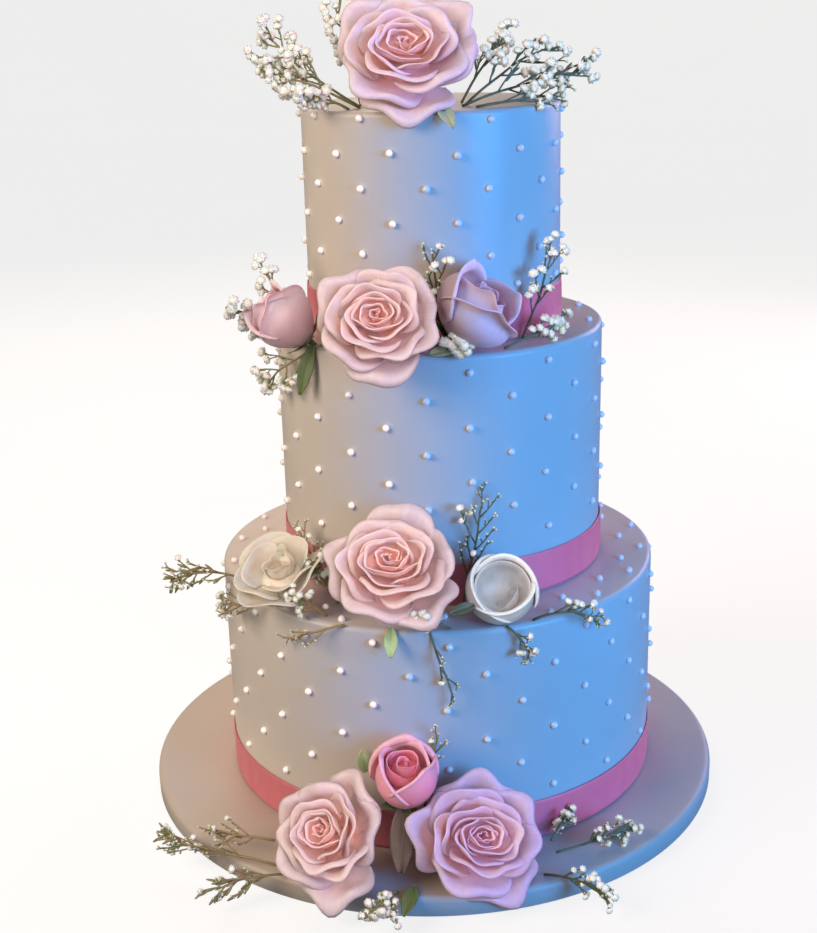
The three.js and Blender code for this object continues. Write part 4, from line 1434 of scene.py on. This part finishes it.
def floret_form() -> Surface:
    """One double floret of radius 1: a small ball of three frills, one inside the other.

    Its rings run from the foot out to the first frill's rim, in to a fold, up to the next frill
    and so on to its middle. A cosine of five times the angle gives the lobes, and each ring's
    lobes are turned on by a little more than the last's.
    """
    # The last column is depth: green at the foot and centre, pale on each frill's rim, greyer in the folds
    # between frills, which is painted shade.
    profile = np.array([
        [0.25, -0.6, 0.0, 0.9], [0.7, -0.42, 0.08, 0.5],
        [1.0, -0.06, 0.17, 0.0], [0.78, 0.1, 0.12, 0.4],
        [0.88, 0.42, 0.17, 0.0], [0.52, 0.44, 0.12, 0.4],
        [0.5, 0.74, 0.17, 0.0], [0.2, 0.62, 0.1, 0.35],
    ])
    turn = steps_round(18)
    lobe = np.cos(5 * turn[None] + 1.3 * np.arange(len(profile))[:, None])
    radius = profile[:, :1] * (1 + profile[:, 2:3] * lobe)
    height = profile[:, 1:2] + 0.5 * profile[:, 2:3] * lobe
    rings = round_points(radius, turn, height)
    return closed_rings(rings, np.array([0, 0, -0.72]), np.array([0, 0, 0.68]), profile[:, 3])


@dataclass(frozen=True)
class SprigGroup:
    """The sprigs of one tier. Each side of it is one piece of stems and one of florets."""

    name: str
    sprigs: tuple[Sprig, ...]
    more: tuple[Sprig, ...] = ()
    floret: float = 3.0

    def build(self, palette: Palette) -> Surface:
        """Makes the two sides, by where each sprig's middle is."""
        sides = []
        for side, sign in (("left", -1), ("right", 1)):
            own = [s for s in self.sprigs if (s.root[0] + s.tip[0]) * sign > 0]
            extra = [s for s in self.more if (s.root[0] + s.tip[0]) * sign > 0]
            sides.append(self.build_side(palette, f"{self.name}_{side}", own, extra))
        return together(sides)

    def build_side(
        self, palette: Palette, name: str, own: list[Sprig], extra: list[Sprig]
    ) -> Surface:
        """Makes the stems of one side, and the florets on them.

        Args:
            palette: the finishes.
            name: what the side's pieces are called after.
            own: the sprigs that stand for the model's.
            extra: sprigs too small for the model.

        Returns:
            Stems and florets in place.
        """
        grown = [s.branches() for s in (*own, *extra)]
        stems = together([b for branches, *_ in grown for b in branches])
        piece = make_piece(f"stems_{name}", stems, palette.stem)
        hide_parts(*[f"sprig_{s.name}" for s in own])
        places, ways, out = (np.concatenate([g[n] for g in grown]) for n in (1, 2, 3))
        size = self.floret * out * (0.95 + 0.16 * wobble(np.arange(len(places)), 6))
        florets = floret_form().repeated(facing(ways), places + ways * 0.5 * size[:, None], size)
        closed = np.repeat(np.where(out < 1, 0.75, 0.0), len(florets.points) // len(places))
        florets = replace(florets, depth=np.maximum(florets.depth, closed))
        make_piece(f"florets_{name}", florets, palette.floret)
        return together([stems, florets])


DRY = 0.8

SPRIG_GROUPS = (
    SprigGroup("top", (
        Sprig("top_left_fan", (-34, -40, 455), (-86, -42, 496), (-8, 0, 0), 10, 0.7, 2),
        Sprig("top_back", (-34, -30, 455), (-47, -20, 511), (0, 0, 0), 6, 0.5, 3),
        Sprig("top_left_rim", (-40, -56, 455), (-63, -62, 463), (0, -3, 4), 6, 0.8, 4),
        Sprig("top_right_small", (26, -30, 455), (52, -27, 493), (0, 0, 4), 5, 0.4, 5, 1.0, 1),
        Sprig("top_right_fan", (26, -54, 455), (96, -40, 472), (0, 0, 5), 9, 0.45, 6, 0.7, 1),
        Sprig("top_right_low", (34, -62, 455), (82, -46, 459.5), (4, -4, 2), 7, 0.4, 7, 0.6),
    ), (
        Sprig("top_left_low", (-34, -46, 455), (-84, -50, 476), (-4, 0, 6), 7, 0.6, 31),
        Sprig("top_right_up", (28, -46, 455), (76, -36, 486), (0, 0, 6), 6, 0.5, 32, 0.8, 1),
    )),
    SprigGroup("middle", (
        Sprig("middle_behind", (-72, -50, 318.5), (-94, -55, 360), (-4, 0, 0), 5, 0.5, 8),
        Sprig("middle_left", (-80, -48, 318.5), (-114, -68, 341), (0, 4, 2), 6, 0.8, 9, 1.0, 1),
        Sprig("middle_hanging", (-60, -72, 319), (-97, -52, 291), (-6, -10, 3), 6, 0.6, 10, 0.9),
        Sprig("middle_up", (6, -86, 318.5), (7, -89, 375), (4, -2, 0), 6, 0.5, 11, 0.25),
        Sprig("middle_right_up", (60, -66, 318.5), (77, -70, 369), (2, -2, 0), 7, 0.5, 12, 0.5),
        Sprig("middle_right_long", (48, -90, 318.5), (82, -66, 328), (3, -4, 2), 7, 0.4, 13, 0.8),
    ), (
        Sprig("middle_centre", (12, -98, 318.5), (22, -110, 326), (0, -2, 4), 5, 0.8, 33),
    )),
    SprigGroup("lower", (
        Sprig(
            "lower_far_left", (-114, -62, 161.5), (-165, -60, 168), (0, 0, 7), 8, 0.6, 14, 0.05, 1, DRY,
        ),
        Sprig(
            "lower_left", (-88, -100, 161.5), (-130, -84, 155), (-14, -14, 7), 8, 0.5, 15, 0.15, 0, DRY,
        ),
        Sprig("lower_left_up", (-62, -84, 161.5), (-80, -76, 201), (0, 0, 0), 9, 0.6, 16, 0.1, 0, DRY),
        Sprig("lower_up", (20, -112, 161.5), (34, -108, 229), (0, 0, 0), 9, 0.4, 17, 0.12),
        Sprig("lower_centre", (12, -139, 161.5), (-4, -152, 176), (0, -6, 3), 5, 0.8, 18),
        Sprig("lower_hanging", (0, -142, 162), (14, -150, 121), (-2, -6, 6), 4, 0.4, 19, 0.1),
        Sprig("lower_right", (62, -130, 161.5), (102, -122, 156), (2, -10, 16), 8, 0.6, 20, 0.3),
    ), (
        Sprig(
            "lower_left_clump", (-62, -118, 161.5), (-80, -122, 176), (0, -2, 3), 6, 0.8, 34, 0.7, 1, DRY,
        ),
        Sprig(
            "lower_left_front", (-50, -132, 161.5), (-84, -118, 146), (-4, -12, 6), 4, 0.4, 35, 0.0, 0, DRY,
        ),
        Sprig(
            "lower_far_left_tip", (-142, -61, 168), (-166, -60, 162), (0, 0, 3), 7, 0.8, 39, 0.1, 2, DRY,
        ),
        Sprig(
            "lower_left_gap", (-56, -100, 161.5), (-68, -100, 192), (0, 0, 0), 10, 0.7, 40, 0.4, 1, DRY,
        ),
        Sprig("lower_under_bud", (46, -138, 161.5), (60, -138, 142), (2, -8, 6), 4, 0.6, 36, 0.4),
    ), 2.5),
    SprigGroup("board", (
        Sprig(
            "board_left_up", (-98, -150, 26), (-138, -134, 22), (-2, -4, 4), 10, 0.5, 21, 0.15, 0, DRY,
        ),
        Sprig(
            "board_left", (-92, -160, 13.5), (-164, -140, 18), (-4, -6, 9), 12, 0.5, 22, 0.12, 0, DRY,
        ),
        Sprig(
            "board_left_low", (-86, -168, 13.5), (-130, -184, 15), (0, 0, 7), 10, 0.5, 23, 0.15, 3, DRY,
        ),
        Sprig("board_centre", (-22, -187, 13.5), (-36, -209, 14), (0, -6, 9), 8, 0.7, 24, 0.6, 2),
        Sprig("board_right_tuft", (72, -152, 24), (84, -126, 24), (0, 0, 4), 11, 0.8, 25, 0.35, 1),
        Sprig("board_right", (74, -162, 22), (120, -134, 20), (4, -6, 4), 12, 0.5, 26, 0.35, 1),
        Sprig("board_right_low", (66, -172, 13.5), (100, -194, 14), (2, -2, 7), 10, 0.5, 27, 0.4, 1),
    ), (
        Sprig("board_behind_bud", (-6, -146, 40), (4, -148, 96), (0, -2, 0), 5, 0.4, 37, 0.3),
        Sprig("board_centre_low", (-24, -188, 13.5), (-22, -206, 12), (-4, -4, 6), 5, 0.7, 38, 0.4, 2),
        Sprig("board_left_tip", (-146, -146, 17), (-168, -140, 24), (0, 0, 2), 7, 0.8, 41, 0.1, 3),
    ), 2.4),
)


# ---------------------------------------------------------------------------------------------
# Floor, lights and camera
# ---------------------------------------------------------------------------------------------


class Lit(Enum):
    """What a lamp shines on: everything, or one group of things."""

    ALL = "all"
    ICING = "icing"
    RIBBONS = "ribbons"
    FLOWERS = "flowers"
    PALE = "pale"
    VIOLET = "violet"
    LEFT = "left"
    MILD = "mild"
    RIGHT = "right"


@dataclass(frozen=True)
class Lamp:
    """A square soft light: its turn from the front, its rise, distance, size and strength."""

    name: str
    turn: float
    rise: float
    distance: float
    size: float
    power: float
    colour: Colour
    lights: Lit = Lit.ALL

    def build(self, target: Vector, groups: dict[Lit, bpy.types.Collection]) -> None:
        """Hangs the light, aimed at a point of the cake, for one group of things or for all."""
        data = bpy.data.lights.new(self.name, "AREA")
        data.size = self.size
        data.energy = self.power
        data.color = self.colour
        lamp = bpy.data.objects.new(self.name, data)
        way = heading(self.turn, self.rise)
        lamp.location = target + way * self.distance
        lamp.rotation_euler = way.to_track_quat("Z", "Y").to_euler()
        lamp.visible_camera = False
        bpy.context.scene.collection.objects.link(lamp)
        if self.lights in groups:
            lamp.light_linking.receiver_collection = groups[self.lights]


@dataclass(frozen=True)
class Studio:
    """A pale floor that curves up all round, soft lights, and the camera at the cake's front."""

    eye: tuple[float, float, float] = (6.5, -915, 518.06)
    across: tuple[float, float, float] = (0.99958, 0.01174, -0.02659)
    upward: tuple[float, float, float] = (0.02158, 0.31315, 0.94946)
    forward: tuple[float, float, float] = (-0.01947, 0.94963, -0.31276)
    lens: float = 55.36
    target: tuple[float, float, float] = (0.008, -0.02, 0.24)
    ambient: float = 0.12
    floor_glow: float = 0.8
    floor_radius: float = 2.6
    floor_bend: float = 1.2
    floor_height: float = 3.2
    floor_sides: int = 64
    lamps: tuple[Lamp, ...] = (
        Lamp("key", -66, 25, 1.7, 0.9, 18, (1.0, 0.83, 0.68)),
        Lamp("cool", 46, 11, 1.5, 0.7, 26, (0.03, 0.33, 1.0), Lit.ICING),
        Lamp("lilac", 46, 14, 1.5, 0.7, 9, (0.36, 0.4, 1.0), Lit.FLOWERS),
        Lamp("pale", 44, 16, 1.5, 0.7, 14, (0.3, 0.6, 1.0), Lit.PALE),
        Lamp("violet", 66, 14, 1.5, 0.7, 17, (0.24, 0.32, 1.0), Lit.VIOLET),
        Lamp("ribbons", 60, 10, 1.5, 0.7, 7, (1.0, 0.22, 0.45), Lit.RIBBONS),
        Lamp("rim", 138, 16, 1.6, 0.7, 6, (1.0, 0.6, 0.66)),
        Lamp("back", -165, 34, 1.8, 1.1, 8, (1.0, 0.84, 0.68)),
        Lamp("front", 10, 30, 1.5, 1.1, 23.5, (1.0, 0.84, 0.79), Lit.LEFT),
        Lamp("front_mild", -2, 30, 1.5, 1.1, 18, (1.0, 0.86, 0.86), Lit.MILD),
        Lamp("front_right", 0, 28, 1.5, 1.1, 16.5, (0.78, 0.6, 1.0), Lit.RIGHT),
    )

    def build(self) -> None:
        """Sets up the floor, the world, the lights and the camera."""
        scene = bpy.context.scene
        scene.view_settings.view_transform = "Standard"
        groups = {lit: bpy.data.collections.new(lit.value) for lit in Lit if lit is not Lit.ALL}
        for group in groups.values():
            scene.collection.children.link(group)
        for thing in [o for o in scene.objects if o.type == "MESH"]:
            for lit in self.groups_of(thing):
                groups[lit].objects.link(thing)
        for lamp in self.lamps:
            lamp.build(Vector(self.target), groups)
        self.floor()
        world = bpy.data.worlds.new("studio")
        scene.world = world
        world.use_nodes = True
        sky = world.node_tree.nodes["Background"]
        sky.inputs["Color"].default_value = (1.0, 1.0, 1.0, 1)
        sky.inputs["Strength"].default_value = self.ambient
        self.camera()

    def groups_of(self, thing: bpy.types.Object) -> list[Lit]:
        """The groups that a piece belongs to, by its name and its middle.

        Args:
            thing: the piece.

        Returns:
            Its groups.
        """
        name = thing.name
        if name.startswith("satin"):
            return [Lit.ICING, Lit.RIBBONS]
        if name.startswith(("icing", "iced")):
            return [Lit.ICING]
        on_right = name.endswith("_right")
        if name.startswith("bud_white") or (name.startswith("florets") and on_right):
            return [Lit.PALE, Lit.MILD]
        if name.startswith(("pearls", "florets", "stems")):
            return [Lit.ICING, Lit.FLOWERS] if on_right else [Lit.FLOWERS, Lit.LEFT]
        if name.startswith(("rose_top", "bud_board")):
            return [Lit.FLOWERS, Lit.VIOLET, Lit.MILD]
        if name.startswith(("bud_middle_left", "flower_white")):
            return [Lit.FLOWERS, Lit.MILD]
        if name.startswith("bud_middle_right"):
            return [Lit.FLOWERS, Lit.VIOLET, Lit.PALE]
        if thing.bound_box[0][0] + thing.bound_box[6][0] > 0:
            return [Lit.FLOWERS, Lit.VIOLET, Lit.RIGHT]
        return [Lit.FLOWERS, Lit.LEFT]

    def floor(self) -> bpy.types.Object:
        """A pale disc that turns up into a wall on a quarter circle, with a faint unevenness.

        It glows a little, and gives no light back to the cake, so that the cake's shaded side
        keeps its depth.
        """
        shader = Shader("pale_floor")
        cloud = shader.noise(shader.coordinates("Object"), 3, 2)
        tone = shader.mix(shader.spread(cloud, 0, 1), (0.3, 0.3, 0.303), (0.32, 0.32, 0.32))
        shader.feed("Base Color", tone)
        shader.set(roughness=0.8, emission_color=(1, 1, 1, 1), emission_strength=self.floor_glow)
        a = np.linspace(0, np.pi / 2, 13)[1:]
        bent = self.floor_radius + self.floor_bend * np.sin(a)
        r = np.concatenate([[0.4, 1.0, self.floor_radius], bent, bent[-1:]])
        z = np.concatenate([[0, 0, 0], self.floor_bend * (1 - np.cos(a)), [self.floor_height]])
        rings = round_points(r[:, None], steps_round(self.floor_sides), z[:, None])
        faces = grid_faces(len(r), self.floor_sides, True)[:, ::-1].tolist()
        mesh = bpy.data.meshes.new("floor")
        middle = list(range(self.floor_sides))
        mesh.from_pydata(rings.reshape(-1, 3).tolist(), [], [*faces, middle])
        mesh.materials.append(shader.material)
        floor = bpy.data.objects.new("floor", mesh)
        floor.visible_diffuse = False
        floor.visible_glossy = False
        floor.visible_transmission = False
        bpy.context.scene.collection.objects.link(floor)
        return floor

    def camera(self) -> None:
        """Places the camera by its right, up and forward directions."""
        data = bpy.data.cameras.new("camera")
        data.lens = self.lens
        data.sensor_width = 36
        camera = bpy.data.objects.new("camera", data)
        turn = Matrix((self.across, self.upward, [-c for c in self.forward])).transposed()
        camera.matrix_world = Matrix.Translation(Vector(self.eye) * MM) @ turn.to_4x4()
        bpy.context.scene.collection.objects.link(camera)
        bpy.context.scene.camera = camera


# ---------------------------------------------------------------------------------------------
# The cake
# ---------------------------------------------------------------------------------------------


def tree_of(surfaces: list[Surface]) -> BVHTree:
    """A search tree over everything laid on the cake, in millimetres."""
    whole = together(surfaces)
    faces = [*whole.quads.tolist(), *whole.triangles.tolist()]
    return BVHTree.FromPolygons(whole.points.tolist(), faces)


def main() -> None:
    """Builds the cake from the board up, flowers before pearls, then lights it."""
    logging.basicConfig(level=logging.INFO, format="%(name)s %(message)s")
    palette = Palette()
    Board().build(palette)
    laid = [piece.build(palette) for piece in (*BLOOMS, *LEAVES, *SPRIG_GROUPS)]
    flowers = tree_of(laid)
    for tier in TIERS:
        tier.build_icing(palette)
        tier.build_ribbon(palette)
        tier.build_pearls(palette, flowers)
    Studio().build()


if __name__ == "__main__":
    main()
